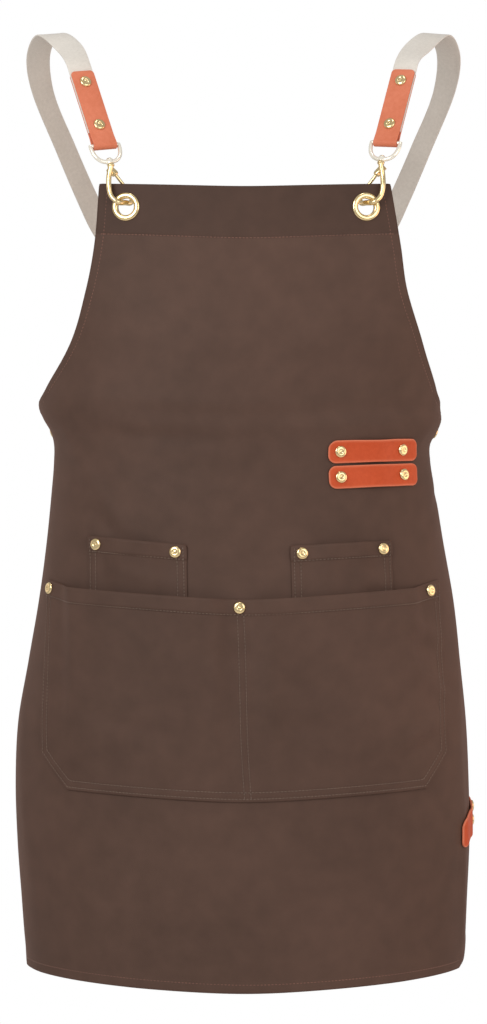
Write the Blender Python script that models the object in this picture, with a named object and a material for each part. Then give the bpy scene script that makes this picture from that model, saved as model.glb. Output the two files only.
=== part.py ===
# Cross back work apron, in the form that it keeps when it is worn.
#
# Metres, +Z up, +X to the right as the front is seen, and the front faces -Y. The origin lies
# midway between the two shoulders, at the height of the underside of the shoulder straps there.
#
# The apron is laid out on one curved surface. A place on it is given by across, the distance
# round the body from the middle of the front, and down, the distance below the top edge.

import math

import bmesh
import bpy
import numpy as np
from mathutils import Matrix, Vector

# Driving sizes

PANEL_LENGTH = 0.805          # top edge to hem, down the middle
HIP_HALF_WIDTH = 0.2365       # half the width of the worn skirt at the hips
BODY_DEPTH = 0.14             # how far the worn skirt reaches back from its front
BIB_DROP = 0.1718             # the shoulders down to the top edge
CLOTH = 0.0016
SEAT_GAP = 0.0003             # between pieces that touch on the real apron
SEAM_GAP = 0.0005             # between the panel and the pockets sewn on it
WING_CAP_GAP = 0.0010         # more under the flat cap of a rivet on the turned wing
STRAP_SEAT_GAP = 0.0008       # between the panel and a flat strap riveted on it
WING_GAP = 0.0024             # between the turned wing and the flat webbing inside it

TOP_HEM_DEPTH = 0.052
HEM_CLOTH = 0.0030            # cloth turned over on itself
HEM_STEP = 0.002

POCKET_TOP = 0.4142           # below the top edge of the panel
POCKET_HEIGHT = 0.200
POCKET_HALF_WIDTH = 0.2235
POCKET_CORNER_CUT = 0.033
POCKET_BULGE = 0.009
POCKET_HEM_DEPTH = 0.015
SEAM_LEAN_TOP = -0.0065       # the middle seam leans a little, as the cloth hangs
SEAM_LEAN_BOTTOM = 0.006
SEAM_HALF_WIDTH = 0.007
MOUTH_RISE = 0.0055           # how much higher the ends of the mouth are held
MOUTH_RISE_WIDTH = 0.050
MOUTH_RISE_FALL = 3

SMALL_POCKET_TOPS = {"left": 0.3612, "right": 0.3633}
SMALL_POCKET_HEIGHT = 0.150
SMALL_POCKET_WIDTH = 0.107
SMALL_POCKET_MIDDLES = {"left": -0.1127, "right": 0.1000}
SMALL_POCKET_LEAN = 0.0019    # how much lower each hangs at its right end
SMALL_POCKET_BULGE = 0.007

# The mesh rows of each pocket, as shares of its height, and how the cloth comes off the panel: the
# higher the fall, the sooner below the mouth it lies flat again.
POCKET_ROWS = (0.0, 0.25, 0.5, 0.7, 0.83, 0.91, 1.0)
POCKET_FALL = 1
SMALL_POCKET_ROWS = (0.0, 0.22, 0.4, 0.65, 1.0)
SMALL_POCKET_FALL = 3
ROW_APART = 0.004             # no mesh row lies nearer than this to the end of a hem

FLAT_MARGIN = 0.016           # sewn cloth beside a pocket's edge, with the rivet in it
FRONT_FLAT_MARGIN = 0.024
BULGE_RAMP = 0.024            # the width over which a pocket comes off the panel
RIVET_DOWN = 0.0070           # a pocket's rivet below its mouth
SMALL_RIVET_INSET = 0.0105    # and in from its sides
LEFT_RIVET_INSET = 0.0085
RIGHT_RIVET_INSET = 0.0165

LEATHER = 0.0020
CORNER_STEPS = (0.0, 0.2, 1.0)   # the mesh rows over a rounded corner, as shares of its radius
TOOL_STRAP_LENGTH = 0.106
TOOL_STRAP_WIDTH = 0.023
TOOL_STRAP_START = 0.0875
TOOL_STRAP_RISE = -0.0024     # how much higher a strap's right end lies
TOOL_STRAP_UPPER = 0.2699
TOOL_STRAP_LOWER = 0.2958
TOOL_STRAP_CORNER = 0.008
TOOL_STRAP_ARCH = 0.0025
TOOL_RIVET_LEFT = 0.0125      # each rivet in from its end
TOOL_RIVET_RIGHT = 0.020
FLAT_END_EXTRA = 0.013        # a strap lies flat this far past its rivet

SIDE_STRAP_START = 0.252
SIDE_STRAP_LENGTH = 0.066
SIDE_STRAP_WIDTH = 0.028
SIDE_STRAP_DOWN = 0.669
SIDE_STRAP_RISE = 0.022
SIDE_STRAP_ARCH = 0.001
SIDE_RIVET_INSET = 0.013

WEBBING_WIDTH = 0.026
WEBBING = 0.0018
TAB_WIDTH = 0.025
TAB_CORNER = 0.004
TAB_LOOP_START = 3            # in radii of the loop round the ring's bar
TAB_RIVET_UPPER = 0.013       # from the tab's top end
TAB_RIVET_LOWER = 0.064
WEBBING_IN_TAB = 0.071
SHOULDER_HALF_SPAN = 0.204    # the middle of the neck to the middle of a strap's crest
BACK_DEPTH = 0.128            # the shoulders back to the straps' crossing
STRAP_DROP = 0.400            # the shoulders down to the wing corners
CROSSING_GAP = 0.0012         # between the two straps where they cross

RIVET_CAP_RADIUS = 0.0061
RIVET_CAP_HEIGHT = 0.0021
RIVET_CAP_FACE = 0.6          # the flat part of a cap's face, as a share of its radius
RIVET_SHANK_RADIUS = 0.0016
RIVET_BURR_RADIUS = 0.0044
RIVET_BURR = 0.0012
RIVET_BURR_FACE = 0.8
RIVET_SIDES = 8
RIVET_CURVE_GAP = 0.0006      # a flat burr stays clear of the hollow side of the cloth

GROMMET_ACROSS = 0.1215
GROMMET_DOWN = 0.0225
GROMMET_HOLE_RADIUS = 0.0085
GROMMET_RADIUS = 0.0143
GROMMET_BARREL = 0.0010
GROMMET_FLANGE = 0.0014
GROMMET_PANEL_GAP = 0.0006    # the flanges stay clear of the curved cloth
GROMMET_SIDES = 16

RING_WIRE_RADIUS = 0.0021
RING_HALF_WIDTH = 0.0155
RING_HEIGHT = 0.0195
RING_SQUARENESS = 0.8         # one is half an ellipse, less is squarer
RING_BAR_STEPS = (-0.9, -0.3, 0.3, 0.9)   # the points of its straight bar, as shares of the half width
BOSS_RADIUS = 0.0038
BOSS_HALF_LENGTH = 0.0025
POST_RADIUS = 0.0018
POST_CLEARANCE = 0.0003
POST_HEAD_RADIUS = 0.0030
POST_HEAD = 0.0015
COLLAR_RADIUS = 0.0036
COLLAR = 0.0026
HOOK_IN_COLLAR = 0.6          # where the bent wire starts, as a share of the collar's height

HOOK_WIRE_RADIUS = 0.0027
CHEEK = 0.0013
CHEEK_WIDTH = 0.0046
GATE_RADIUS = 0.0017
GATE_EYE_RADIUS = 0.0025
GATE_EYE_WIDTH = 0.0034
GATE_SIDE_GAP = 0.0003
PIN_RADIUS = 0.0009
PIN_CLEARANCE = 0.0003
GATE_TIP_GAP = 0.0026         # the gate stops short of the round end of the hook

# The worn panel, a row for each height. Down is a share of PANEL_LENGTH. Half and shift are shares
# of HIP_HALF_WIDTH, the half width of the body there and how far its middle lies to the right.
# Front, depth and lift are shares of BODY_DEPTH: how far forward of the shoulders the front lies,
# how far back the side lies from it, and how much higher the cloth hangs at the side than in the
# middle. Left and right are how far the cloth reaches round the body, in degrees from the front.
PANEL_COLUMNS = ("down", "half", "shift", "front", "depth", "lift", "left", "right")
PANEL_ROWS = (
    (0.000, 0.846, 0.006, 0.82, 0.36, 0.043, 46.9, 46.9),
    (0.079, 0.846, 0.017, 0.84, 0.44, 0.064, 50.4, 50.4),
    (0.136, 0.846, 0.013, 0.86, 0.53, 0.079, 54.1, 54.1),
    (0.195, 0.850, 0.015, 0.89, 0.67, 0.086, 61.4, 61.4),
    (0.225, 0.863, 0.006, 0.89, 0.74, 0.086, 66.0, 66.0),
    (0.255, 0.875, -0.008, 0.89, 0.79, 0.086, 73.5, 73.5),
    (0.270, 0.881, -0.015, 0.89, 0.80, 0.086, 78.2, 78.2),
    (0.285, 0.881, -0.017, 0.88, 0.81, 0.086, 92.0, 92.0),
    (0.300, 0.875, -0.004, 0.88, 0.82, 0.086, 104.0, 104.0),
    (0.315, 0.852, 0.002, 0.87, 0.83, 0.086, 104.0, 104.0),
    (0.331, 0.829, -0.006, 0.87, 0.83, 0.086, 102.5, 102.5),
    (0.354, 0.829, -0.006, 0.87, 0.84, 0.086, 102.0, 102.0),
    (0.394, 0.845, 0.000, 0.88, 0.85, 0.093, 101.5, 101.5),
    (0.456, 0.873, 0.006, 0.89, 0.88, 0.093, 101.0, 101.0),
    (0.534, 0.913, 0.011, 0.91, 0.91, 0.093, 101.0, 101.0),
    (0.611, 0.951, 0.004, 0.92, 0.94, 0.093, 101.0, 101.0),
    (0.688, 0.989, -0.006, 0.93, 0.97, 0.086, 101.0, 101.0),
    (0.765, 1.002, -0.006, 0.93, 0.98, 0.079, 101.0, 101.0),
    (0.843, 1.000, 0.000, 0.93, 0.99, 0.071, 101.0, 101.0),
    (0.920, 0.985, 0.004, 0.93, 1.00, 0.064, 99.0, 101.0),
    (0.955, 0.978, 0.006, 0.93, 1.00, 0.061, 96.0, 97.0),
    (0.980, 0.972, 0.008, 0.93, 1.00, 0.059, 93.0, 87.0),
    (1.000, 0.966, 0.008, 0.93, 1.00, 0.057, 90.0, 75.0),
)
PANEL_TABLE = np.array(PANEL_ROWS)
LIFT_ROUNDING = 0.15
PANEL_TURNS = 24              # columns of the panel's mesh, in steps round the body

# A shoulder strap from the tab over the shoulder, down the back and across to the other side. Out is
# a share of SHOULDER_HALF_SPAN, back of BACK_DEPTH and up of STRAP_DROP. The last three columns point
# across the webbing, to the side that lies outward on the shoulder.
STRAP_COLUMNS = ("out", "back", "up", "edge out", "edge back", "edge up")
STRAP_ROWS = (
    (0.878, -0.330, -0.050, 0.96, -0.10, -0.25),
    (1.000, 0.000, 0.002, 0.95, -0.30, -0.10),
    (1.063, 0.270, -0.036, 0.86, -0.50, 0.00),
    (1.053, 0.550, -0.118, 0.74, -0.67, -0.05),
    (0.940, 0.780, -0.264, 0.75, -0.60, -0.25),
    (0.829, 0.900, -0.395, 0.75, -0.50, -0.40),
    (0.756, 0.940, -0.470, 0.72, -0.42, -0.50),
    (0.515, 0.980, -0.625, 0.65, -0.20, -0.70),
    (0.000, 1.000, -0.795, 0.57, 0.00, -0.82),
    (-0.500, 0.978, -0.905, 0.42, 0.00, -0.92),
    (-0.820, 0.640, -0.975, 0.30, 0.05, -0.95),
)
STRAP_CROSSING_ROWS = (7, 8, 9)
STRAP_END_TURNS = (104.0, 97.0, 89.0)   # where the strap's end lies inside the wing, round the body
STRAP_END_DOWN = 0.254
STRAP_RIVET_TURN = 99.0
STRAP_STRAIGHT = 0.010                  # the webbing runs straight on past the tab
STRAP_STEP = 0.019                      # the longest straight run in the webbing's mesh

# Where each harness hangs: the top of the leather tab, and the middle of the bar of its ring.
TAB_TOPS = {"left": (-0.1655, -0.070, -0.0498), "right": (0.1640, -0.070, -0.0482)}
RING_BARS = {"left": (-0.1402, -0.098, -0.1278), "right": (0.1437, -0.098, -0.1250)}
TAB_EDGE_OUT = (0.893, -0.428, -0.138)
SIDES = {"left": -1, "right": 1}

# The bent wire of a snap hook, as seen from the grommet's middle: toward the middle of the
# apron, out of the cloth, and up, in shares of HOOK_REACH.
HOOK_REACH = 0.046
HOOK_ROWS = (
    (-0.348, 0.113, 0.696),
    (-0.343, 0.154, 0.440),
    (-0.283, 0.157, 0.215),
    (-0.150, 0.145, 0.092),
    (-0.020, -0.032, 0.092),
    (0.065, -0.200, 0.115),
    (0.070, -0.265, 0.270),
)
GATE_PIVOT = (-0.270, -0.060, 0.740)


def clear_scene():
    for thing in list(bpy.data.objects):
        bpy.data.objects.remove(thing)


def material(name, colour, roughness, metallic=0.0):
    made = bpy.data.materials.new(name)
    made.use_nodes = True
    shader = made.node_tree.nodes["Principled BSDF"]
    shader.inputs["Base Color"].default_value = (*colour, 1.0)
    shader.inputs["Roughness"].default_value = roughness
    shader.inputs["Metallic"].default_value = metallic
    return made


# The curved surface of the panel


def smooth_curve(places, values, at):
    # A smooth curve through the table's values, one column of them or several.
    step = np.diff(places)
    shape = (-1,) + (1,) * (values.ndim - 1)
    slope = np.diff(values, axis=0) / step.reshape(shape)
    middle = (slope[1:] + slope[:-1]) / 2
    tangent = np.concatenate([slope[:1], middle, slope[-1:]])
    low = np.clip(np.searchsorted(places, at) - 1, 0, len(places) - 2)
    wide = step[low]
    t = (at - places[low]) / wide
    t, wide = (v.reshape(v.shape + (1,) * (values.ndim - 1)) for v in (t, wide))
    return (
        (2 * t**3 - 3 * t**2 + 1) * values[low]
        + (t**3 - 2 * t**2 + t) * wide * tangent[low]
        + (3 * t**2 - 2 * t**3) * values[low + 1]
        + (t**3 - t**2) * wide * tangent[low + 1]
    )


def section(down):
    row = smooth_curve(PANEL_TABLE[:, 0], PANEL_TABLE, np.asarray(down, float) / PANEL_LENGTH)
    return {name: row[..., k] for k, name in enumerate(PANEL_COLUMNS)}


def at_turn(turn, down):
    # The point of the panel's outer face at a turn, in radians, round the body.
    s = section(down)
    side = np.abs(np.sin(turn))
    top = math.hypot(1, LIFT_ROUNDING) - LIFT_ROUNDING
    raised = (np.sqrt(side**2 + LIFT_ROUNDING**2) - LIFT_ROUNDING) / top
    x = (s["shift"] + s["half"] * np.sin(turn)) * HIP_HALF_WIDTH
    y = (s["depth"] * (1 - np.cos(turn)) - s["front"]) * BODY_DEPTH
    z = s["lift"] * BODY_DEPTH * raised - BIB_DROP - down
    return np.stack([x, y, z], -1)


TURN_SAMPLES = np.radians(np.linspace(-112, 112, 113))


def arc_lengths(down):
    # How far each sampled turn lies from the middle of the front, for each down.
    turn, deep = np.broadcast_arrays(TURN_SAMPLES, np.asarray(down, float)[..., None])
    points = at_turn(turn, deep)
    step = np.linalg.norm(np.diff(points, axis=-2), axis=-1)
    along = np.concatenate([np.zeros(step.shape[:-1] + (1,)), np.cumsum(step, -1)], -1)
    middle = len(TURN_SAMPLES) // 2
    return along - along[..., middle : middle + 1]


def turn_at(across, down):
    across, down = (np.atleast_1d(v).astype(float) for v in np.broadcast_arrays(across, down))
    lengths = arc_lengths(down.ravel())
    pairs = zip(across.ravel(), lengths)
    turns = [np.interp(a, row, TURN_SAMPLES) for a, row in pairs]
    return np.array(turns).reshape(across.shape)


def outward(turn, down):
    small = 1e-4
    inside = np.clip(down, small, PANEL_LENGTH - small)
    along = at_turn(turn + small, inside) - at_turn(turn - small, inside)
    below = at_turn(turn, inside + small) - at_turn(turn, inside - small)
    normal = np.cross(below, along)
    return normal / np.linalg.norm(normal, axis=-1, keepdims=True)


def on_panel(across, down, out=0.0):
    # Points at a distance out from the panel's outer face.
    across, down, out = np.broadcast_arrays(across, down, out)
    turn = turn_at(across, down).reshape(across.shape)
    return at_turn(turn, down) + outward(turn, down) * np.asarray(out)[..., None]


def flat_place(turn, down, width):
    # Where something straight from its upper to its lower edge lies on the panel: the middle
    # between the places under those edges, the way out, and the way down.
    upper, lower = (at_turn(turn, np.array(down + hand * width / 2)) for hand in (-1, 1))
    way_down = unit(lower - upper)
    return (upper + lower) / 2, crossways(way_down, outward(turn, np.array(down))), way_down


# Solids


def unit(v):
    v = np.asarray(v, float)
    return v / np.linalg.norm(v, axis=-1, keepdims=True)


def crossways(direction, toward):
    # The part of toward that is square to direction, at length one.
    return unit(toward - np.sum(toward * direction, -1, keepdims=True) * direction)


def solid(name, points, faces, look):
    mesh = bpy.data.meshes.new(name)
    mesh.from_pydata([tuple(map(float, p)) for p in points], [], faces)
    work = bmesh.new()
    work.from_mesh(mesh)
    bmesh.ops.recalc_face_normals(work, faces=work.faces)
    if work.calc_volume(signed=True) < 0:
        bmesh.ops.reverse_faces(work, faces=work.faces)
    work.to_mesh(mesh)
    work.free()
    mesh.shade_smooth()
    mesh.set_sharp_from_angle(angle=math.radians(40))
    mesh.materials.append(look)
    made = bpy.data.objects.new(name, mesh)
    bpy.context.collection.objects.link(made)
    return made


def wall(name, outer, inner, look):
    # A closed wall between two grids of points with the same rows and columns.
    rows, columns = outer.shape[:2]
    points = np.concatenate([outer.reshape(-1, 3), inner.reshape(-1, 3)])
    back = rows * columns
    faces = []
    for r in range(rows - 1):
        for c in range(columns - 1):
            quad = (r * columns + c, r * columns + c + 1, (r + 1) * columns + c + 1, (r + 1) * columns + c)
            faces.append(quad)
            faces.append(tuple(back + k for k in reversed(quad)))
    rim = [(0, c) for c in range(columns)]
    rim += [(r, columns - 1) for r in range(1, rows)]
    rim += [(rows - 1, c) for c in range(columns - 2, -1, -1)]
    rim += [(r, 0) for r in range(rows - 2, 0, -1)]
    numbers = [r * columns + c for r, c in rim]
    for a, b in zip(numbers, numbers[1:] + numbers[:1]):
        faces.append((b, a, back + a, back + b))
    return solid(name, points, faces, look)


def loft(name, rings, look, closed=False):
    # A body through rings of points, with flat ends, or joined end to end.
    rings = np.asarray(rings, float)
    count, sides = rings.shape[:2]
    faces = []
    for r in range(count if closed else count - 1):
        above, below = r * sides, (r + 1) % count * sides
        for k in range(sides):
            other = (k + 1) % sides
            faces.append((above + k, above + other, below + other, below + k))
    if not closed:
        faces.append(tuple(reversed(range(sides))))
        faces.append(tuple(range((count - 1) * sides, count * sides)))
    return solid(name, rings.reshape(-1, 3), faces, look)


def wire_rings(path, radius, sides, toward, closed=False):
    # Round rings along a path; radius may be one for each point of it.
    path = np.asarray(path, float)
    if closed:
        along = unit(np.roll(path, -1, 0) - np.roll(path, 1, 0))
    else:
        along = unit(np.gradient(path, axis=0))
    first = crossways(along, np.broadcast_to(toward, along.shape))
    second = np.cross(along, first)
    angle = 2 * np.pi * np.arange(sides) / sides
    circle = np.cos(angle)[None, :, None] * first[:, None] + np.sin(angle)[None, :, None] * second[:, None]
    return path[:, None] + np.broadcast_to(radius, len(path))[:, None, None] * circle


def turned(name, profile, middle, axis, sides, look, closed=False):
    # A turned solid. The profile's rows are a radius and a height along the axis; a radius of
    # nothing closes the end, and a closed profile makes a ring.
    axis = unit(axis)
    helper = np.array([0.0, 0.0, 1.0]) if abs(axis[2]) < 0.9 else np.array([1.0, 0.0, 0.0])
    first = crossways(axis, helper)
    second = np.cross(axis, first)
    angle = 2 * np.pi * np.arange(sides) / sides
    circle = np.cos(angle)[:, None] * first + np.sin(angle)[:, None] * second
    rings = [np.asarray(middle) + height * axis + radius * circle for radius, height in profile]
    return loft(name, rings, look, closed)


def cylinder(name, start, end, radius, sides, look):
    length = float(np.linalg.norm(np.subtract(end, start)))
    return turned(name, ((radius, 0.0), (radius, length)), start, np.subtract(end, start), sides, look)


def cut(piece, tool, operation="DIFFERENCE"):
    # Cuts or joins with the exact solver, and takes the tool away.
    step = piece.modifiers.new(operation.lower(), "BOOLEAN")
    step.operation = operation
    step.solver = "EXACT"
    step.object = tool
    bpy.context.view_layer.update()
    shaped = bpy.data.meshes.new_from_object(piece.evaluated_get(bpy.context.evaluated_depsgraph_get()))
    piece.modifiers.clear()
    old = piece.data
    piece.data = shaped
    bpy.data.meshes.remove(old)
    mesh = tool.data
    bpy.data.objects.remove(tool)
    bpy.data.meshes.remove(mesh)


def join(piece, *others):
    for other in others:
        cut(piece, other, "UNION")
    return piece


def corner_half_width(width, corner, from_end):
    # Half the width of a strap near its end, whose corners are rounded.
    reach = np.clip(from_end, 0.0, corner)
    return width / 2 - corner + np.sqrt(corner**2 - (corner - reach) ** 2)


def ramp(share):
    share = np.clip(share, 0.0, 1.0)
    return share * share * (3 - 2 * share)


# Cloth


def panel_grid(extra_downs):
    shares = PANEL_TABLE[:, 0]
    downs = list(shares * PANEL_LENGTH)
    for low, high in zip(shares[:-1], shares[1:]):
        if high - low > 0.06:
            downs.append((low + high) / 2 * PANEL_LENGTH)
    downs = np.array(sorted(downs + list(extra_downs)))
    s = section(downs)
    share = np.linspace(0, 1, PANEL_TURNS + 1)
    turns = np.radians(-s["left"][:, None] + (s["left"] + s["right"])[:, None] * share)
    return turns, np.broadcast_to(downs[:, None], turns.shape)


def make_panel(look):
    turns, downs = panel_grid((TOP_HEM_DEPTH - HEM_STEP, TOP_HEM_DEPTH))
    outer = at_turn(turns, downs)
    in_hem = downs < TOP_HEM_DEPTH - HEM_STEP / 2
    thick = np.where(in_hem, HEM_CLOTH, CLOTH)
    inner = outer - outward(turns, downs) * thick[..., None]
    return wall("apron_panel", outer, inner, look)


def make_pocket(name, middles, half, top, height, rows, columns, rises, fall, raised, corner_cut, look):
    # A patch pocket that stands off the panel at its mouth. Rows are shares of its height, columns
    # are distances from the middle. Rises gives how far the cloth comes off at each column of the
    # mouth, and raised how much higher the mouth lies there. A cut corner draws the columns in
    # toward the middle.
    downs = [top + share * height for share in rows]
    hem_end = top + POCKET_HEM_DEPTH
    downs = sorted([d for d in downs if abs(d - hem_end) > ROW_APART] + [hem_end - HEM_STEP, hem_end])
    downs = np.array(downs)[:, None]
    share = (downs - top) / height
    middle = middles[0] + (middles[1] - middles[0]) * share
    drawn_in = np.clip(downs - (top + height - corner_cut), 0.0, None)
    across = middle + columns * (half - drawn_in) / half
    out = SEAM_GAP + rises * (1 - share) ** fall
    thick = np.where(downs < hem_end - HEM_STEP / 2, HEM_CLOTH, CLOTH)
    downs = downs - raised * (1 - share) ** MOUTH_RISE_FALL
    return wall(name, on_panel(across, downs, out + thick), on_panel(across, downs, out), look)


def mouth_rise(away):
    # How much higher the mouth of the front pocket lies at a distance from its middle.
    return MOUTH_RISE * ramp((away - POCKET_HALF_WIDTH) / MOUTH_RISE_WIDTH + 1)


def make_front_pocket(look):
    half = POCKET_HALF_WIDTH
    margin = FRONT_FLAT_MARGIN
    side = [0.0, SEAM_HALF_WIDTH, SEAM_HALF_WIDTH + BULGE_RAMP / 2, SEAM_HALF_WIDTH + BULGE_RAMP]
    outer_edge = [half - margin - BULGE_RAMP, half - margin - BULGE_RAMP / 2]
    outer_edge += [half - margin, half - margin * 2 / 3, half - margin / 3, half]
    between = np.linspace(side[-1], outer_edge[0], 8)[1:-1]
    half_columns = np.array(side + list(between) + outer_edge)
    columns = np.concatenate([-half_columns[:0:-1], half_columns])
    away = np.abs(columns)
    rises = ramp((away - SEAM_HALF_WIDTH) / BULGE_RAMP) * ramp((half - margin - away) / BULGE_RAMP)
    middles = (SEAM_LEAN_TOP, SEAM_LEAN_BOTTOM)
    return make_pocket(
        "front_pocket", middles, half, POCKET_TOP, POCKET_HEIGHT, POCKET_ROWS,
        columns, POCKET_BULGE * rises, POCKET_FALL, mouth_rise(away), POCKET_CORNER_CUT, look,
    )


def make_small_pocket(side, look):
    half = SMALL_POCKET_WIDTH / 2
    middle = SMALL_POCKET_MIDDLES[side]
    edge = [half - FLAT_MARGIN - BULGE_RAMP, half - FLAT_MARGIN - BULGE_RAMP / 2]
    edge += [half - FLAT_MARGIN, half - FLAT_MARGIN / 2, half]
    half_columns = np.array([edge[0] / 2] + edge)
    columns = np.concatenate([-half_columns[::-1], half_columns])
    rises = ramp((half - FLAT_MARGIN - np.abs(columns)) / BULGE_RAMP)
    raised = -SMALL_POCKET_LEAN * columns / SMALL_POCKET_WIDTH
    return make_pocket(
        "small_pocket_" + side, (middle, middle), half, SMALL_POCKET_TOPS[side], SMALL_POCKET_HEIGHT,
        SMALL_POCKET_ROWS, columns, SMALL_POCKET_BULGE * rises, SMALL_POCKET_FALL, raised, 0.0, look,
    )


# Leather


def make_flat_strap(name, start, length, width, flats, down, rise, arch, look):
    # A leather strap lying on the panel, a little off it between its flat ends.
    corner = TOOL_STRAP_CORNER
    ends = np.array(CORNER_STEPS) * corner
    between = np.linspace(corner, length - corner, 7)[1:-1]
    along = np.concatenate([ends, between, length - ends[::-1]])
    from_end = np.minimum(along, length - along)
    half = corner_half_width(width, corner, from_end)
    off = np.sin(np.pi * np.clip((along - flats[0]) / (length - sum(flats)), 0, 1)) * arch
    edge = np.array([-1.0, 1.0])[:, None]
    downs = down - rise * along / length + edge * half
    across = np.broadcast_to(start + along, downs.shape)
    lifted = STRAP_SEAT_GAP + np.broadcast_to(off, downs.shape)
    return wall(name, on_panel(across, downs, lifted + LEATHER), on_panel(across, downs, lifted), look)


def harness_axes(side):
    # Along the tab, down to the ring, out of its face, and across it to the wearer's outer side.
    top, bar = np.array(TAB_TOPS[side]), np.array(RING_BARS[side])
    along = unit(bar - top)
    out, back, up = TAB_EDGE_OUT
    edge = crossways(along, np.array([out * SIDES[side], back, up]))
    face = np.cross(along, edge)
    face = face if face[1] < 0 else -face
    return top, bar, along, face, edge


def make_tab(side, look):
    # One piece of leather, folded round the bar of the ring.
    top, bar, along, face, edge = harness_axes(side)
    length = float(np.linalg.norm(bar - top))
    layer = WEBBING / 2 + SEAT_GAP + LEATHER / 2
    loop = RING_WIRE_RADIUS + SEAT_GAP + LEATHER / 2
    starts = [share * TAB_CORNER for share in CORNER_STEPS]
    fold = [(s - length, layer) for s in starts + [length / 2, length - TAB_LOOP_START * loop]]
    bend = [(loop * math.sin(a), loop * math.cos(a)) for a in np.linspace(0, math.pi, 7)]
    path = np.array(fold + bend + [(s, -m) for s, m in reversed(fold)])
    tangent = unit(np.gradient(path, axis=0))
    tangent[: len(fold) - 1] = (1.0, 0.0)
    tangent[1 - len(fold) :] = (-1.0, 0.0)
    normal = np.stack([-tangent[:, 1], tangent[:, 0]], -1)
    half = corner_half_width(TAB_WIDTH, TAB_CORNER, path[:, 0] + length)
    rings = []
    for (s, m), (ns, nm), wide in zip(path, normal, half):
        ring = []
        for edge_side, layer_side in ((-1, -1), (1, -1), (1, 1), (-1, 1)):
            s_at = s + layer_side * ns * LEATHER / 2
            m_at = m + layer_side * nm * LEATHER / 2
            ring.append(bar + along * s_at + face * m_at + edge * wide * edge_side)
        rings.append(ring)
    return loft("tab_" + side, rings, look)


# Webbing


def wing_inside(sign, degrees):
    # Where flat webbing lies inside the wing: its outer face, the way out, and the way down it.
    middle, out, lower = flat_place(np.array(sign * math.radians(degrees)), STRAP_END_DOWN, WEBBING_WIDTH)
    return middle - out * (CLOTH + WING_GAP), out, lower


def strap_rows(side):
    sign = SIDES[side]
    top, bar, along, face, edge = harness_axes(side)
    straight = (WEBBING_IN_TAB, WEBBING_IN_TAB / 2, 0.0, -STRAP_STRAIGHT)
    middles = [top + along * reach for reach in straight]
    edges = [edge] * len(straight)
    for number, (out, back, up, edge_out, edge_back, edge_up) in enumerate(STRAP_ROWS):
        reach = 1.0
        if number in STRAP_CROSSING_ROWS:
            reach += sign * (WEBBING + CROSSING_GAP) / 2 / BACK_DEPTH
        place = (out * sign * SHOULDER_HALF_SPAN, back * BACK_DEPTH * reach, up * STRAP_DROP)
        middles.append(np.array(place))
        edges.append(np.array([edge_out * sign, edge_back, edge_up]))
    for degrees in STRAP_END_TURNS:
        middle, out, lower = wing_inside(-sign, degrees)
        middles.append(middle - out * WEBBING / 2)
        edges.append(lower)
    return np.array(middles), unit(np.array(edges))


def make_strap(side, look):
    middles, edges = strap_rows(side)
    lengths = np.linalg.norm(np.diff(middles, axis=0), axis=1)
    places = np.concatenate([[0.0], np.cumsum(lengths)])
    runs = [np.linspace(a, b, math.ceil((b - a) / STRAP_STEP) + 1)[1:] for a, b in zip(places, places[1:])]
    at = np.concatenate([[0.0]] + runs)
    path = smooth_curve(places, middles, at)
    along = unit(np.gradient(path, axis=0))
    edge = crossways(along, smooth_curve(places, edges, at))
    face = np.cross(along, edge)
    corners = ((-1, -1), (1, -1), (1, 1), (-1, 1))
    rings = [
        [p + e * WEBBING_WIDTH / 2 * a + f * WEBBING / 2 * b for a, b in corners]
        for p, e, f in zip(path, edge, face)
    ]
    return loft("strap_" + side, rings, look)


# Metal


def make_grommet(side, look):
    across, down = SIDES[side] * GROMMET_ACROSS, GROMMET_DOWN
    turn = turn_at(across, down)[0]
    middle = at_turn(turn, np.array(down))
    axis = outward(turn, np.array(down))
    front = GROMMET_PANEL_GAP
    back = -HEM_CLOTH - GROMMET_PANEL_GAP
    inner, outer = GROMMET_HOLE_RADIUS, GROMMET_RADIUS
    barrel = inner + GROMMET_BARREL
    round_off = GROMMET_FLANGE / 2
    profile = (
        (inner, back - round_off), (inner, front + round_off),
        (inner + round_off, front + GROMMET_FLANGE), (outer - round_off, front + GROMMET_FLANGE),
        (outer, front), (barrel, front), (barrel, back),
        (outer, back), (inner + round_off, back - GROMMET_FLANGE),
    )
    return turned("grommet_" + side, profile, middle, axis, GROMMET_SIDES, look, closed=True)


def grommet_axes(side):
    # The grommet's middle, and the directions toward the apron's middle, out of the cloth and up.
    turn = turn_at(SIDES[side] * GROMMET_ACROSS, GROMMET_DOWN)[0]
    down = np.array(GROMMET_DOWN)
    middle, out = at_turn(turn, down), outward(turn, down)
    up = crossways(out, np.array([0.0, 0.0, 1.0]))
    inward = np.cross(up, out) * SIDES[side]
    inward = inward if inward[0] * SIDES[side] < 0 else -inward
    return middle, inward, out, up


def from_grommet(side, shares):
    middle, inward, out, up = grommet_axes(side)
    a, b, c = (share * HOOK_REACH for share in shares)
    return middle + inward * a + out * b + up * c


def ring_foot(side):
    top, bar, along, face, edge = harness_axes(side)
    return bar + along * RING_HEIGHT, along


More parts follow.
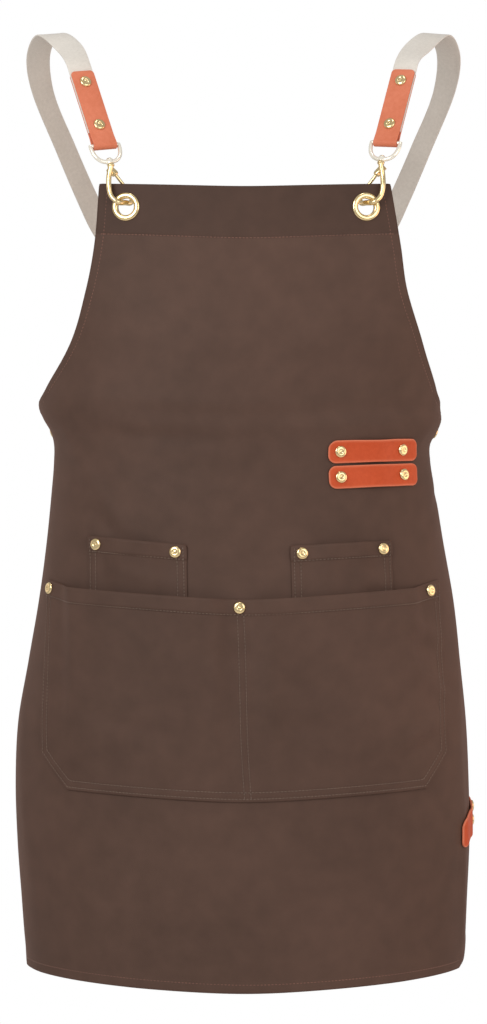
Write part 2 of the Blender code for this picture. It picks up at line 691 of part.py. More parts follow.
def make_ring(side, look):
    # A D ring with a boss at its foot, in which the hook's post turns.
    top, bar, along, face, edge = harness_axes(side)
    turns = np.linspace(0, math.pi, 15)
    across = RING_HALF_WIDTH * np.sign(np.cos(turns)) * np.abs(np.cos(turns)) ** RING_SQUARENESS
    bow = list(zip(across, RING_HEIGHT * np.sin(turns) ** RING_SQUARENESS))
    straight = [(RING_HALF_WIDTH * share, 0.0) for share in RING_BAR_STEPS]
    path = [bar + edge * a + along * b for a, b in bow + straight]
    ring = loft("ring_" + side, wire_rings(path, RING_WIRE_RADIUS, 6, face, closed=True), look, closed=True)
    foot, axis = ring_foot(side)
    half = axis * BOSS_HALF_LENGTH
    join(ring, cylinder("boss", foot - half, foot + half, BOSS_RADIUS, 12, look))
    bore = POST_RADIUS + POST_CLEARANCE
    cut(ring, cylinder("bore", foot - half * 3, foot + half * 3, bore, 10, look))
    return ring


def hook_path(side):
    foot, axis = ring_foot(side)
    start = foot + axis * (BOSS_HALF_LENGTH + SEAT_GAP + COLLAR * HOOK_IN_COLLAR)
    rows = np.array([start] + [from_grommet(side, row) for row in HOOK_ROWS])
    places = np.concatenate([[0.0], np.cumsum(np.linalg.norm(np.diff(rows, axis=0), axis=1))])
    return smooth_curve(places, rows, np.linspace(0.0, places[-1], 15))


def gate_line(side):
    # The pivot, the far end of the gate, and the axis that it turns on to open inward.
    pivot = from_grommet(side, GATE_PIVOT)
    path = hook_path(side)
    tip = path[-1]
    along = unit(tip - pivot)
    arm = path[np.argmin(np.abs(path[:8, 2] - tip[2]))]
    axis = unit(np.cross(along, arm - tip))
    return pivot, tip - along * GATE_TIP_GAP, along, axis


def make_hook(side, look):
    path = hook_path(side)
    pivot, gate_end, gate_along, axis = gate_line(side)
    hook = loft("hook_" + side, wire_rings(path, HOOK_WIRE_RADIUS, 8, axis), look)
    foot, down = ring_foot(side)
    collar_top = foot + down * (BOSS_HALF_LENGTH + SEAT_GAP)
    head_foot = foot - down * (BOSS_HALF_LENGTH + SEAT_GAP)
    collar = cylinder("collar", collar_top, collar_top + down * COLLAR, COLLAR_RADIUS, 12, look)
    post_ends = (head_foot - down * POST_HEAD / 2, collar_top + down * COLLAR / 2)
    post = cylinder("post", *post_ends, POST_RADIUS, 10, look)
    head = cylinder("head", head_foot - down * POST_HEAD, head_foot, POST_HEAD_RADIUS, 12, look)
    join(hook, collar, post, head)
    root = collar_top + down * COLLAR
    root = root - axis * np.dot(root - pivot, axis)
    reach = unit(pivot - root)
    wide = np.cross(reach, axis) * CHEEK_WIDTH / 2
    offset = GATE_EYE_WIDTH / 2 + GATE_SIDE_GAP
    for hand in (-1, 1):
        near, far = axis * hand * offset, axis * hand * (offset + CHEEK)
        end = pivot + reach * CHEEK_WIDTH / 2
        rings = [
            [p + near - wide, p + near + wide, p + far + wide, p + far - wide]
            for p in (root, end)
        ]
        join(hook, loft("cheek", rings, look))
    pin = axis * (offset + CHEEK / 2)
    return join(hook, cylinder("pin", pivot - pin, pivot + pin, PIN_RADIUS, 8, look))


def make_gate(side, look):
    # A short lever whose eye turns on the hook's pin; the object's origin lies on the pin.
    pivot, end, along, axis = gate_line(side)
    start = pivot + along * (PIN_RADIUS + PIN_CLEARANCE + GATE_EYE_RADIUS) / 2
    rings = wire_rings([start, (start + end) / 2, end], GATE_RADIUS, 8, axis)
    gate = loft("gate_" + side, rings, look)
    inner = PIN_RADIUS + PIN_CLEARANCE
    half = GATE_EYE_WIDTH / 2
    profile = ((inner, -half), (inner, half), (GATE_EYE_RADIUS, half), (GATE_EYE_RADIUS, -half))
    join(gate, turned("eye", profile, pivot, axis, 12, look, closed=True))
    gate.data.transform(Matrix.Translation(-Vector(pivot)))
    gate.location = Vector(pivot)
    return gate


def make_rivet(name, middle, out, grip, look, curve_gap=RIVET_CURVE_GAP):
    # A rivet whose cap sits on the front of the layers, whose shank goes through them and whose
    # burr holds them from behind. Middle is on the front face, and grip is the layers' thickness.
    front, back = SEAT_GAP, -grip - SEAT_GAP - curve_gap
    cap, shank, burr = RIVET_CAP_RADIUS, RIVET_SHANK_RADIUS, RIVET_BURR_RADIUS
    profile = (
        (cap * RIVET_CAP_FACE, front + RIVET_CAP_HEIGHT), (cap, front), (shank, front),
        (shank, back), (burr, back), (burr * RIVET_BURR_FACE, back - RIVET_BURR),
    )
    return turned(name, profile, middle, out, RIVET_SIDES, look)


def shank_hole(middle, out, grip, look):
    start = middle + out * grip
    end = middle - out * 2.5 * grip
    return cylinder("hole", start, end, RIVET_SHANK_RADIUS + SEAT_GAP, RIVET_SIDES, look)


def panel_rivet(name, across, down, width, layers, look):
    # Width is that of the flat strap held, or next to nothing on cloth that follows the panel.
    # Layers are the thicknesses on the panel at this place, with the gap under each.
    stack = float(sum(layers))
    turn = turn_at(across, down)[0]
    middle, out, lower = flat_place(turn, down, width)
    bridged = float(np.dot(middle - at_turn(turn, np.array(down)), out))
    grip = stack + CLOTH + max(bridged, 0.0)
    middle = middle + out * stack
    return make_rivet(name, middle, out, grip, look), (middle, out, grip)


def main():
    clear_scene()
    cloth = material("waxed_cloth", (0.105, 0.067, 0.054), 0.62)
    leather = material("leather", (0.62, 0.16, 0.075), 0.5)
    webbing = material("webbing", (0.60, 0.53, 0.47), 0.85)
    brass = material("brass", (0.80, 0.62, 0.30), 0.28, 1.0)
    pale = material("pale_metal", (0.85, 0.80, 0.66), 0.22, 1.0)

    panel = make_panel(cloth)
    pocket = make_front_pocket(cloth)
    small = {side: make_small_pocket(side, cloth) for side in SIDES}
    tool_downs = {"upper": TOOL_STRAP_UPPER, "lower": TOOL_STRAP_LOWER}
    tool_flats = (TOOL_RIVET_LEFT + FLAT_END_EXTRA, TOOL_RIVET_RIGHT + FLAT_END_EXTRA)
    tools = {}
    for level, down in tool_downs.items():
        tools[level] = make_flat_strap(
            "tool_strap_" + level, TOOL_STRAP_START, TOOL_STRAP_LENGTH, TOOL_STRAP_WIDTH,
            tool_flats, down, TOOL_STRAP_RISE, TOOL_STRAP_ARCH, leather,
        )
    side_strap = make_flat_strap(
        "side_strap", SIDE_STRAP_START, SIDE_STRAP_LENGTH, SIDE_STRAP_WIDTH,
        (SIDE_RIVET_INSET + FLAT_END_EXTRA,) * 2, SIDE_STRAP_DOWN, SIDE_STRAP_RISE, SIDE_STRAP_ARCH, leather,
    )

    holes = []

    def rivet_through(name, across, down, width, layers, pieces):
        made, place = panel_rivet(name, across, down, width, layers, brass)
        holes.append((place, pieces))

    hemmed = (SEAM_GAP, HEM_CLOTH)
    left_offset = LEFT_RIVET_INSET - POCKET_HALF_WIDTH
    right_offset = POCKET_HALF_WIDTH - RIGHT_RIVET_INSET
    for place, offset in (("left", left_offset), ("middle", 0.0), ("right", right_offset)):
        across = SEAM_LEAN_TOP + offset
        down = POCKET_TOP + RIVET_DOWN - float(mouth_rise(abs(offset)))
        rivet_through("rivet_pocket_" + place, across, down, HEM_STEP, hemmed, (panel, pocket))
    small_offset = SMALL_POCKET_WIDTH / 2 - SMALL_RIVET_INSET
    for side, middle in SMALL_POCKET_MIDDLES.items():
        for place, offset in (("left", -small_offset), ("right", small_offset)):
            name = f"rivet_small_{side}_{place}"
            down = SMALL_POCKET_TOPS[side] + RIVET_DOWN + SMALL_POCKET_LEAN * offset / SMALL_POCKET_WIDTH
            rivet_through(name, middle + offset, down, HEM_STEP, hemmed, (panel, small[side]))
    strapped = (STRAP_SEAT_GAP, LEATHER)
    width = TOOL_STRAP_WIDTH
    for level, middle in tool_downs.items():
        for place, inset in (("left", TOOL_RIVET_LEFT), ("right", TOOL_STRAP_LENGTH - TOOL_RIVET_RIGHT)):
            across = TOOL_STRAP_START + inset
            down = middle - TOOL_STRAP_RISE * inset / TOOL_STRAP_LENGTH
            name = f"rivet_tool_{level}_{place}"
            rivet_through(name, across, down, width, strapped, (panel, tools[level]))
    across = SIDE_STRAP_START + SIDE_STRAP_LENGTH - SIDE_RIVET_INSET
    share = 1 - SIDE_RIVET_INSET / SIDE_STRAP_LENGTH
    for place, hand in (("upper", -1), ("lower", 1)):
        down = SIDE_STRAP_DOWN - SIDE_STRAP_RISE * share + hand * SIDE_STRAP_WIDTH / 4
        rivet_through("rivet_side_" + place, across, down, HEM_STEP, strapped, (panel, side_strap))

    for side in SIDES:
        strap = make_strap(side, webbing)
        tab = make_tab(side, leather)
        make_ring(side, pale)
        make_hook(side, brass)
        make_gate(side, brass)
        make_grommet(side, brass)
        top, bar, along, face, edge = harness_axes(side)
        grip = WEBBING + 2 * SEAT_GAP + 2 * LEATHER
        for place, inset in (("upper", TAB_RIVET_UPPER), ("lower", TAB_RIVET_LOWER)):
            middle = top + along * inset + face * grip / 2
            make_rivet(f"rivet_tab_{side}_{place}", middle, face, grip, brass, 0.0)
            holes.append(((middle, face, grip), (tab, strap)))
        inside, out, lower = wing_inside(-SIDES[side], STRAP_RIVET_TURN)
        turn = np.array(-SIDES[side] * math.radians(STRAP_RIVET_TURN))
        middle = at_turn(turn, np.array(STRAP_END_DOWN)) + out * WING_CAP_GAP
        grip = float(np.dot(middle - inside, out)) + WEBBING
        make_rivet("rivet_strap_" + side, middle, out, grip, brass)
        holes.append(((middle, out, grip), (panel, strap)))
        middle, inward, out, up = grommet_axes(side)
        bore = GROMMET_HOLE_RADIUS + GROMMET_BARREL + SEAT_GAP
        reach = out * 4 * HEM_CLOTH
        cut(panel, cylinder("hole", middle + reach, middle - reach, bore, GROMMET_SIDES, cloth))

    for (middle, out, grip), pieces in holes:
        for piece in pieces:
            cut(piece, shank_hole(middle, out, grip, brass))


main()
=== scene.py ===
import math

import bmesh
import bpy
import numpy as np
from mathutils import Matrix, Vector


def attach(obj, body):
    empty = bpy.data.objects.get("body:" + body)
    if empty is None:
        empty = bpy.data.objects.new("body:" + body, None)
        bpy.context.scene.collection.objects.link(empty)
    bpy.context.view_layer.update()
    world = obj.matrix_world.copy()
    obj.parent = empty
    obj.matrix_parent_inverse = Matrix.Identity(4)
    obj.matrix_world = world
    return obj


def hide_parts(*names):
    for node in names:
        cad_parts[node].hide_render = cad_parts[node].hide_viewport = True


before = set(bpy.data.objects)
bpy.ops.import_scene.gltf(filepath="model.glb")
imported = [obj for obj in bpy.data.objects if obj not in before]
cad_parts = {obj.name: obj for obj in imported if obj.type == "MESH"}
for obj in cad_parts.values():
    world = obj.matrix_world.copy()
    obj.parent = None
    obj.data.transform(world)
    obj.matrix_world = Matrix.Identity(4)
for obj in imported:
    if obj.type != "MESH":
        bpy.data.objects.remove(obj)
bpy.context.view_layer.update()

print("frame loaded")

# Metres, +Z up, +X to the right as the front is seen, and the front faces -Y. A place on the worn
# cloth is across, the distance round the body from the middle of the front, and down, the distance
# below the top edge, as in the CAD.

body = {"length": 0.805, "hipHalfWidth": 0.2365, "depth": 0.14, "bibDrop": 0.1718, "liftRounding": 0.15}
panelColumns = ("down", "half", "shift", "front", "depth", "lift", "left", "right")
panelRows = (
    (0.000, 0.846, 0.006, 0.82, 0.36, 0.043, 46.9, 46.9),
    (0.079, 0.846, 0.017, 0.84, 0.44, 0.064, 50.4, 50.4),
    (0.136, 0.846, 0.013, 0.86, 0.53, 0.079, 54.1, 54.1),
    (0.195, 0.850, 0.015, 0.89, 0.67, 0.086, 61.4, 61.4),
    (0.225, 0.863, 0.006, 0.89, 0.74, 0.086, 66.0, 66.0),
    (0.255, 0.875, -0.008, 0.89, 0.79, 0.086, 73.5, 73.5),
    (0.270, 0.881, -0.015, 0.89, 0.80, 0.086, 78.2, 78.2),
    (0.285, 0.881, -0.017, 0.88, 0.81, 0.086, 92.0, 92.0),
    (0.300, 0.875, -0.004, 0.88, 0.82, 0.086, 104.0, 104.0),
    (0.315, 0.852, 0.002, 0.87, 0.83, 0.086, 104.0, 104.0),
    (0.331, 0.829, -0.006, 0.87, 0.83, 0.086, 102.5, 102.5),
    (0.354, 0.829, -0.006, 0.87, 0.84, 0.086, 102.0, 102.0),
    (0.394, 0.845, 0.000, 0.88, 0.85, 0.093, 101.5, 101.5),
    (0.456, 0.873, 0.006, 0.89, 0.88, 0.093, 101.0, 101.0),
    (0.534, 0.913, 0.011, 0.91, 0.91, 0.093, 101.0, 101.0),
    (0.611, 0.951, 0.004, 0.92, 0.94, 0.093, 101.0, 101.0),
    (0.688, 0.989, -0.006, 0.93, 0.97, 0.086, 101.0, 101.0),
    (0.765, 1.002, -0.006, 0.93, 0.98, 0.079, 101.0, 101.0),
    (0.843, 1.000, 0.000, 0.93, 0.99, 0.071, 101.0, 101.0),
    (0.920, 0.985, 0.004, 0.93, 1.00, 0.064, 99.0, 101.0),
    (0.955, 0.978, 0.006, 0.93, 1.00, 0.061, 96.0, 97.0),
    (0.980, 0.972, 0.008, 0.93, 1.00, 0.059, 93.0, 87.0),
    (1.000, 0.966, 0.008, 0.93, 1.00, 0.057, 90.0, 75.0),
)
panelTable = np.array(panelRows)
widestTurn = 112  # degrees either way from the middle of the front
turnSamples = np.radians(np.linspace(-widestTurn, widestTurn, widestTurn + 1))
seatGap = 0.0003  # between pieces that touch


def smoothCurve(places, values, at):
    step = np.diff(places)
    slope = np.diff(values, axis=0) / step.reshape((-1,) + (1,) * (values.ndim - 1))
    tangent = np.concatenate([slope[:1], (slope[1:] + slope[:-1]) / 2, slope[-1:]])
    low = np.clip(np.searchsorted(places, at) - 1, 0, len(places) - 2)
    wide = step[low]
    t = (at - places[low]) / wide
    t, wide = (v.reshape(v.shape + (1,) * (values.ndim - 1)) for v in (t, wide))
    return (
        (2 * t**3 - 3 * t**2 + 1) * values[low]
        + (t**3 - 2 * t**2 + t) * wide * tangent[low]
        + (3 * t**2 - 2 * t**3) * values[low + 1]
        + (t**3 - t**2) * wide * tangent[low + 1]
    )


def unit(v):
    v = np.asarray(v, float)
    return v / np.linalg.norm(v, axis=-1, keepdims=True)


def crossways(direction, toward):
    return unit(toward - np.sum(toward * direction, -1, keepdims=True) * direction)


def section(down):
    row = smoothCurve(panelTable[:, 0], panelTable, np.asarray(down, float) / body["length"])
    return {name: row[..., k] for k, name in enumerate(panelColumns)}


def atTurn(turn, down):
    s = section(down)
    side = np.abs(np.sin(turn))
    top = math.hypot(1, body["liftRounding"]) - body["liftRounding"]
    raised = (np.sqrt(side**2 + body["liftRounding"] ** 2) - body["liftRounding"]) / top
    x = (s["shift"] + s["half"] * np.sin(turn)) * body["hipHalfWidth"]
    y = (s["depth"] * (1 - np.cos(turn)) - s["front"]) * body["depth"]
    z = s["lift"] * body["depth"] * raised - body["bibDrop"] - down
    return np.stack([x, y, z], -1)


def arcLengths(down):
    turn, deep = np.broadcast_arrays(turnSamples, np.asarray(down, float)[..., None])
    step = np.linalg.norm(np.diff(atTurn(turn, deep), axis=-2), axis=-1)
    along = np.concatenate([np.zeros(step.shape[:-1] + (1,)), np.cumsum(step, -1)], -1)
    middle = len(turnSamples) // 2
    return along - along[..., middle : middle + 1]


def turnAt(across, down):
    across, down = np.broadcast_arrays(np.asarray(across, float), np.asarray(down, float))
    rows, which = np.unique(down.ravel(), return_inverse=True)
    lengths = arcLengths(rows)
    turns = np.empty(across.size)
    flat = across.ravel()
    for row in range(len(rows)):
        here = which.ravel() == row
        turns[here] = np.interp(flat[here], lengths[row], turnSamples)
    return turns.reshape(across.shape)


def outward(turn, down):
    small = 1e-4
    inside = np.clip(down, small, body["length"] - small)
    along = atTurn(turn + small, inside) - atTurn(turn - small, inside)
    below = atTurn(turn, inside + small) - atTurn(turn, inside - small)
    return unit(np.cross(below, along))


# Soft folds of the worn cloth. All the layers on it go along with them.
folds = (
    # across, down, degrees from upright, half the length and the width, how far it stands out
    (-0.165, 0.300, 38, 0.060, 0.010, 0.0016),
    (-0.150, 0.345, 62, 0.055, 0.009, -0.0010),
    (0.190, 0.285, -30, 0.060, 0.010, 0.0016),
    (0.235, 0.330, -55, 0.050, 0.009, -0.0012),
    (0.205, 0.420, -12, 0.090, 0.013, 0.0012),
    (-0.215, 0.470, 10, 0.110, 0.014, 0.0012),
    (0.055, 0.170, -38, 0.090, 0.022, 0.0010),
    (-0.060, 0.210, 34, 0.085, 0.022, 0.0009),
    (0.250, 0.560, -6, 0.120, 0.014, 0.0018),
    (-0.255, 0.620, 6, 0.130, 0.014, 0.0016),
    (-0.115, 0.720, 4, 0.090, 0.022, 0.0012),
    (0.035, 0.730, -3, 0.080, 0.024, 0.0011),
    (0.170, 0.715, -7, 0.085, 0.020, 0.0014),
    (0.120, 0.520, 72, 0.060, 0.009, -0.0007),
    (0.188, 0.453, 62, 0.026, 0.009, 0.0030),
    (0.190, 0.474, 66, 0.024, 0.008, -0.0018),
    (0.204, 0.508, 62, 0.036, 0.010, 0.0034),
    (0.228, 0.513, 70, 0.018, 0.007, -0.0020),
    (0.190, 0.556, 116, 0.024, 0.008, 0.0031),
    (0.194, 0.570, 116, 0.022, 0.007, -0.0021),
    (0.134, 0.402, 74, 0.022, 0.008, 0.0014),
    (-0.095, 0.398, 84, 0.028, 0.009, 0.0012),
    (0.262, 0.700, 3, 0.100, 0.009, 0.0022),
    (-0.020, 0.470, 86, 0.030, 0.010, -0.0012),
    (0.060, 0.545, 80, 0.040, 0.012, -0.0010),
    (-0.140, 0.540, 80, 0.070, 0.010, -0.0007),
)
stillPlaces = (
    # round the grommets, where the cloth has no folds: across, down, reach
    (-0.1215, 0.0225, 0.05),
    (0.1215, 0.0225, 0.05),
)


def foldHeight(across, down):
    total = np.zeros(np.broadcast(across, down).shape)
    for a, d, lean, length, width, height in folds:
        turn = math.radians(lean)
        along = (across - a) * math.sin(turn) + (down - d) * math.cos(turn)
        beside = (across - a) * math.cos(turn) - (down - d) * math.sin(turn)
        total = total + height * np.exp(-((along / length) ** 2) - (beside / width) ** 2)
    for a, d, reach in stillPlaces:
        total = total * (1 - np.exp(-(((across - a) ** 2 + (down - d) ** 2) / reach**2) ** 2))
    return total


def onPanel(across, down, out=0.0):
    across, down, out = np.broadcast_arrays(across, down, out)
    turn = turnAt(across, down)
    lifted = np.asarray(out) + foldHeight(across, down)
    return atTurn(turn, down) + outward(turn, down) * lifted[..., None]


def facing(across, down):
    return outward(turnAt(across, down), np.asarray(down, float))


# Meshes


def addObject(name, data):
    made = bpy.data.objects.new(name, data)
    bpy.context.collection.objects.link(made)
    return made


def newPiece(name, points, faces, material, uv=None, sharpAngle=50):
    mesh = bpy.data.meshes.new(name)
    mesh.from_pydata([tuple(map(float, p)) for p in points], [], faces)
    if uv is not None:
        layer = mesh.uv_layers.new(name="UVMap")
        corners = np.empty(len(mesh.loops), dtype=np.int32)
        mesh.loops.foreach_get("vertex_index", corners)
        layer.data.foreach_set("uv", np.asarray(uv, float)[corners].ravel())
    mesh.update()
    work = bmesh.new()
    work.from_mesh(mesh)
    bmesh.ops.recalc_face_normals(work, faces=work.faces)
    if work.calc_volume(signed=True) < 0:
        bmesh.ops.reverse_faces(work, faces=work.faces)
    work.to_mesh(mesh)
    work.free()
    mesh.shade_smooth()
    mesh.set_sharp_from_angle(angle=math.radians(sharpAngle))
    mesh.materials.append(material)
    return addObject(name, mesh)


def finishPiece(piece, bodyName, slotName, *nodes):
    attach(piece, bodyName)
    if nodes:
        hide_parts(*nodes)
    return piece


def clothWall(name, outer, inner, uv, material, roundEdge=0.4):
    # A closed wall between two grids of points, with a soft rim.
    rows, columns = outer.shape[:2]
    count = rows * columns
    rim = [(0, c) for c in range(columns)]
    rim += [(r, columns - 1) for r in range(1, rows)]
    rim += [(rows - 1, c) for c in range(columns - 2, -1, -1)]
    rim += [(r, 0) for r in range(rows - 2, 0, -1)]
    middle = (outer + inner) / 2
    thick = np.linalg.norm(outer - inner, axis=-1, keepdims=True)
    centre = middle.copy()
    centre[0], centre[-1] = middle[1], middle[-2]
    centre[:, 0], centre[:, -1] = centre[:, 1], centre[:, -2]
    pushed = middle + unit(middle - centre + 1e-12) * thick * roundEdge
    points = [outer.reshape(-1, 3), inner.reshape(-1, 3), np.array([pushed[r, c] for r, c in rim])]
    uvs = [uv.reshape(-1, 2), uv.reshape(-1, 2), np.array([uv[r, c] for r, c in rim])]
    faces = []
    for r in range(rows - 1):
        for c in range(columns - 1):
            quad = (r * columns + c, r * columns + c + 1, (r + 1) * columns + c + 1, (r + 1) * columns + c)
            faces.append(quad)
            faces.append(tuple(count + k for k in reversed(quad)))
    total = len(rim)
    for k, (r, c) in enumerate(rim):
        nextR, nextC = rim[(k + 1) % total]
        a, b = r * columns + c, nextR * columns + nextC
        m, n = 2 * count + k, 2 * count + (k + 1) % total
        faces.append((b, a, m, n))
        faces.append((n, m, count + a, count + b))
    return newPiece(name, np.concatenate(points), faces, material, np.concatenate(uvs), 75)


def loft(name, rings, material, closed=False, uv=None, sharpAngle=50):
    rings = np.asarray(rings, float)
    count, sides = rings.shape[:2]
    faces = []
    for r in range(count if closed else count - 1):
        above, below = r * sides, (r + 1) % count * sides
        for k in range(sides):
            other = (k + 1) % sides
            faces.append((above + k, above + other, below + other, below + k))
    if not closed:
        faces.append(tuple(reversed(range(sides))))
        faces.append(tuple(range((count - 1) * sides, count * sides)))
    return newPiece(name, rings.reshape(-1, 3), faces, material, uv, sharpAngle)


def wireRings(path, radius, sides, toward, closed=False):
    path = np.asarray(path, float)
    if closed:
        along = unit(np.roll(path, -1, 0) - np.roll(path, 1, 0))
    else:
        along = unit(np.gradient(path, axis=0))
    first = crossways(along, np.broadcast_to(toward, along.shape))
    second = np.cross(along, first)
    angle = 2 * np.pi * np.arange(sides) / sides
    circle = np.cos(angle)[None, :, None] * first[:, None] + np.sin(angle)[None, :, None] * second[:, None]
    return path[:, None] + np.broadcast_to(radius, len(path))[:, None, None] * circle


def turned(name, profile, middle, axis, sides, material, closed=False, sharpAngle=50):
    axis = unit(axis)
    helper = np.array([0.0, 0.0, 1.0]) if abs(axis[2]) < 0.9 else np.array([1.0, 0.0, 0.0])
    first = crossways(axis, helper)
    second = np.cross(axis, first)
    angle = 2 * np.pi * np.arange(sides) / sides
    circle = np.cos(angle)[:, None] * first + np.sin(angle)[:, None] * second
    rings = [np.asarray(middle) + height * axis + radius * circle for radius, height in profile]
    return loft(name, rings, material, closed, None, sharpAngle)


def gather(name, parts):
    # Closed bodies that touch or enter each other, as one mesh.
    work = bmesh.new()
    materials = list(parts[0].data.materials)
    for part in parts:
        work.from_mesh(part.data)
    mesh = bpy.data.meshes.new(name)
    work.to_mesh(mesh)
    work.free()
    for material in materials:
        mesh.materials.append(material)
    for part in parts:
        old = part.data
        bpy.data.objects.remove(part)
        bpy.data.meshes.remove(old)
    return addObject(name, mesh)


def roundedSection(width, thick, corner, steps=3):
    # Points round a flat bar's section: across it and through it.
    places = []
    for signA, signB, start in ((1, 1, 0), (-1, 1, 90), (-1, -1, 180), (1, -1, 270)):
        for k in range(steps + 1):
            angle = math.radians(start + 90 * k / steps)
            a = signA * (width / 2 - corner) + corner * math.cos(angle)
            b = signB * (thick / 2 - corner) + corner * math.sin(angle)
            places.append((a, b))
    return places


# Materials


def nodeTree(material):
    material.use_nodes = True
    nodes, links = material.node_tree.nodes, material.node_tree.links
    return nodes, links, nodes["Principled BSDF"]


def newGroup(name, inputs, outputs):
    group = bpy.data.node_groups.new(name, "ShaderNodeTree")
    for label, value in inputs:
        kind = "NodeSocketVector" if isinstance(value, tuple) else "NodeSocketFloat"
        socket = group.interface.new_socket(label, in_out="INPUT", socket_type=kind)
        socket.default_value = value
    for label in outputs:
        group.interface.new_socket(label, in_out="OUTPUT", socket_type="NodeSocketFloat")
    nodes = group.nodes
    return group, nodes, group.links, nodes.new("NodeGroupInput"), nodes.new("NodeGroupOutput")


def mathNode(nodes, links, operation, *values, clamp=False):
    node = nodes.new("ShaderNodeMath")
    node.operation = operation
    node.use_clamp = clamp
    for k, value in enumerate(values):
        if isinstance(value, (int, float)):
            node.inputs[k].default_value = value
        else:
            links.new(value, node.inputs[k])
    return node.outputs[0]


def makeTwillGroup():
    # Fine slanted ribs crossed by the weft, from a surface position in metres.
    group, nodes, links, entry, leave = newGroup(
        "twillWeave", (("Position", (0.0, 0.0, 0.0)), ("Pitch", 0.0011)), ("Height",)
    )
    apart = nodes.new("ShaderNodeSeparateXYZ")
    links.new(entry.outputs["Position"], apart.inputs[0])
    pitch = entry.outputs["Pitch"]
    slant = mathNode(nodes, links, "ADD", apart.outputs["X"], apart.outputs["Y"])
    ribs = mathNode(nodes, links, "DIVIDE", slant, pitch)
    ribs = mathNode(nodes, links, "SINE", mathNode(nodes, links, "MULTIPLY", ribs, 2 * math.pi))
    weft = mathNode(nodes, links, "DIVIDE", apart.outputs["Y"], pitch)
    weft = mathNode(nodes, links, "SINE", mathNode(nodes, links, "MULTIPLY", weft, 4 * math.pi))
    both = mathNode(nodes, links, "MULTIPLY_ADD", weft, 0.35, ribs)
    links.new(mathNode(nodes, links, "MULTIPLY_ADD", both, 0.37, 0.5), leave.inputs["Height"])
    return group


def makeMottleGroup():
    # Soft uneven patches at two scales.
    group, nodes, links, entry, leave = newGroup(
        "softMottle", (("Position", (0.0, 0.0, 0.0)), ("Large", 6.0), ("Small", 60.0)), ("Patches",)
    )
    tones = []
    for label in ("Large", "Small"):
        noise = nodes.new("ShaderNodeTexNoise")
        noise.inputs["Detail"].default_value = 3.0
        links.new(entry.outputs["Position"], noise.inputs["Vector"])
        links.new(entry.outputs[label], noise.inputs["Scale"])
        tones.append(noise.outputs["Fac"])
    broad = mathNode(nodes, links, "MULTIPLY", tones[0], 0.6)
    links.new(mathNode(nodes, links, "MULTIPLY_ADD", tones[1], 0.4, broad), leave.inputs["Patches"])
    return group


def makeGrainGroup():
    # Pebbled skin of finished leather, with a few finer creases.
    group, nodes, links, entry, leave = newGroup(
        "leatherGrain", (("Position", (0.0, 0.0, 0.0)), ("Scale", 900.0)), ("Height", "Creases")
    )
    cells = nodes.new("ShaderNodeTexVoronoi")
    cells.feature = "DISTANCE_TO_EDGE"
    links.new(entry.outputs["Position"], cells.inputs["Vector"])
    links.new(entry.outputs["Scale"], cells.inputs["Scale"])
    raised = mathNode(nodes, links, "MULTIPLY", cells.outputs["Distance"], 4.0, clamp=True)
    noise = nodes.new("ShaderNodeTexNoise")
    links.new(entry.outputs["Position"], noise.inputs["Vector"])
    links.new(mathNode(nodes, links, "MULTIPLY", entry.outputs["Scale"], 0.22), noise.inputs["Scale"])
    noise.inputs["Detail"].default_value = 4.0
    pebbles = mathNode(nodes, links, "MULTIPLY", raised, 0.4)
    height = mathNode(nodes, links, "MULTIPLY_ADD", noise.outputs["Fac"], 0.6, pebbles)
    links.new(height, leave.inputs["Height"])
    links.new(mathNode(nodes, links, "SUBTRACT", 1.0, raised, clamp=True), leave.inputs["Creases"])
    return group


twillGroup, mottleGroup, grainGroup = makeTwillGroup(), makeMottleGroup(), makeGrainGroup()


def addGroup(nodes, links, group, position, **values):
    node = nodes.new("ShaderNodeGroup")
    node.node_tree = group
    links.new(position, node.inputs["Position"])
    for label, value in values.items():
        node.inputs[label].default_value = value
    return node


def addRamp(nodes, links, factor, stops):
    node = nodes.new("ShaderNodeValToRGB")
    ramp = node.color_ramp
    while len(ramp.elements) < len(stops):
        ramp.elements.new(0.5)
    for element, (place, colour) in zip(ramp.elements, stops):
        element.position = place
        element.color = (*colour, 1.0)
    links.new(factor, node.inputs["Fac"])
    return node.outputs["Color"]


def mixColours(nodes, links, factor, first, second):
    node = nodes.new("ShaderNodeMix")
    node.data_type = "RGBA"
    links.new(factor, node.inputs["Factor"])
    for label, colour in (("A", first), ("B", second)):
        if isinstance(colour, tuple):
            node.inputs[label].default_value = (*colour, 1.0)
        else:
            links.new(colour, node.inputs[label])
    return node.outputs["Result"]


def addRoughness(nodes, links, shader, patches, lowHigh):
    low, high = lowHigh
    links.new(mathNode(nodes, links, "MULTIPLY_ADD", patches, high - low, low), shader.inputs["Roughness"])


def addBump(nodes, links, shader, height, strength, distance):
    node = nodes.new("ShaderNodeBump")
    node.inputs["Strength"].default_value = strength
    node.inputs["Distance"].default_value = distance
    links.new(height, node.inputs["Height"])
    links.new(node.outputs["Normal"], shader.inputs["Normal"])


cloth = {
    "dark": (0.068, 0.0385, 0.0285), "light": (0.107, 0.0605, 0.0455),
    "roughness": (0.50, 0.66), "pitch": 0.0011, "sheen": 0.10, "sheenTint": (1.0, 0.42, 0.26),
    "sheenRoughness": 0.4, "bump": 0.25, "specular": 0.16, "topHem": 0.052, "hemShade": 0.2, "hemFade": 0.002,
}


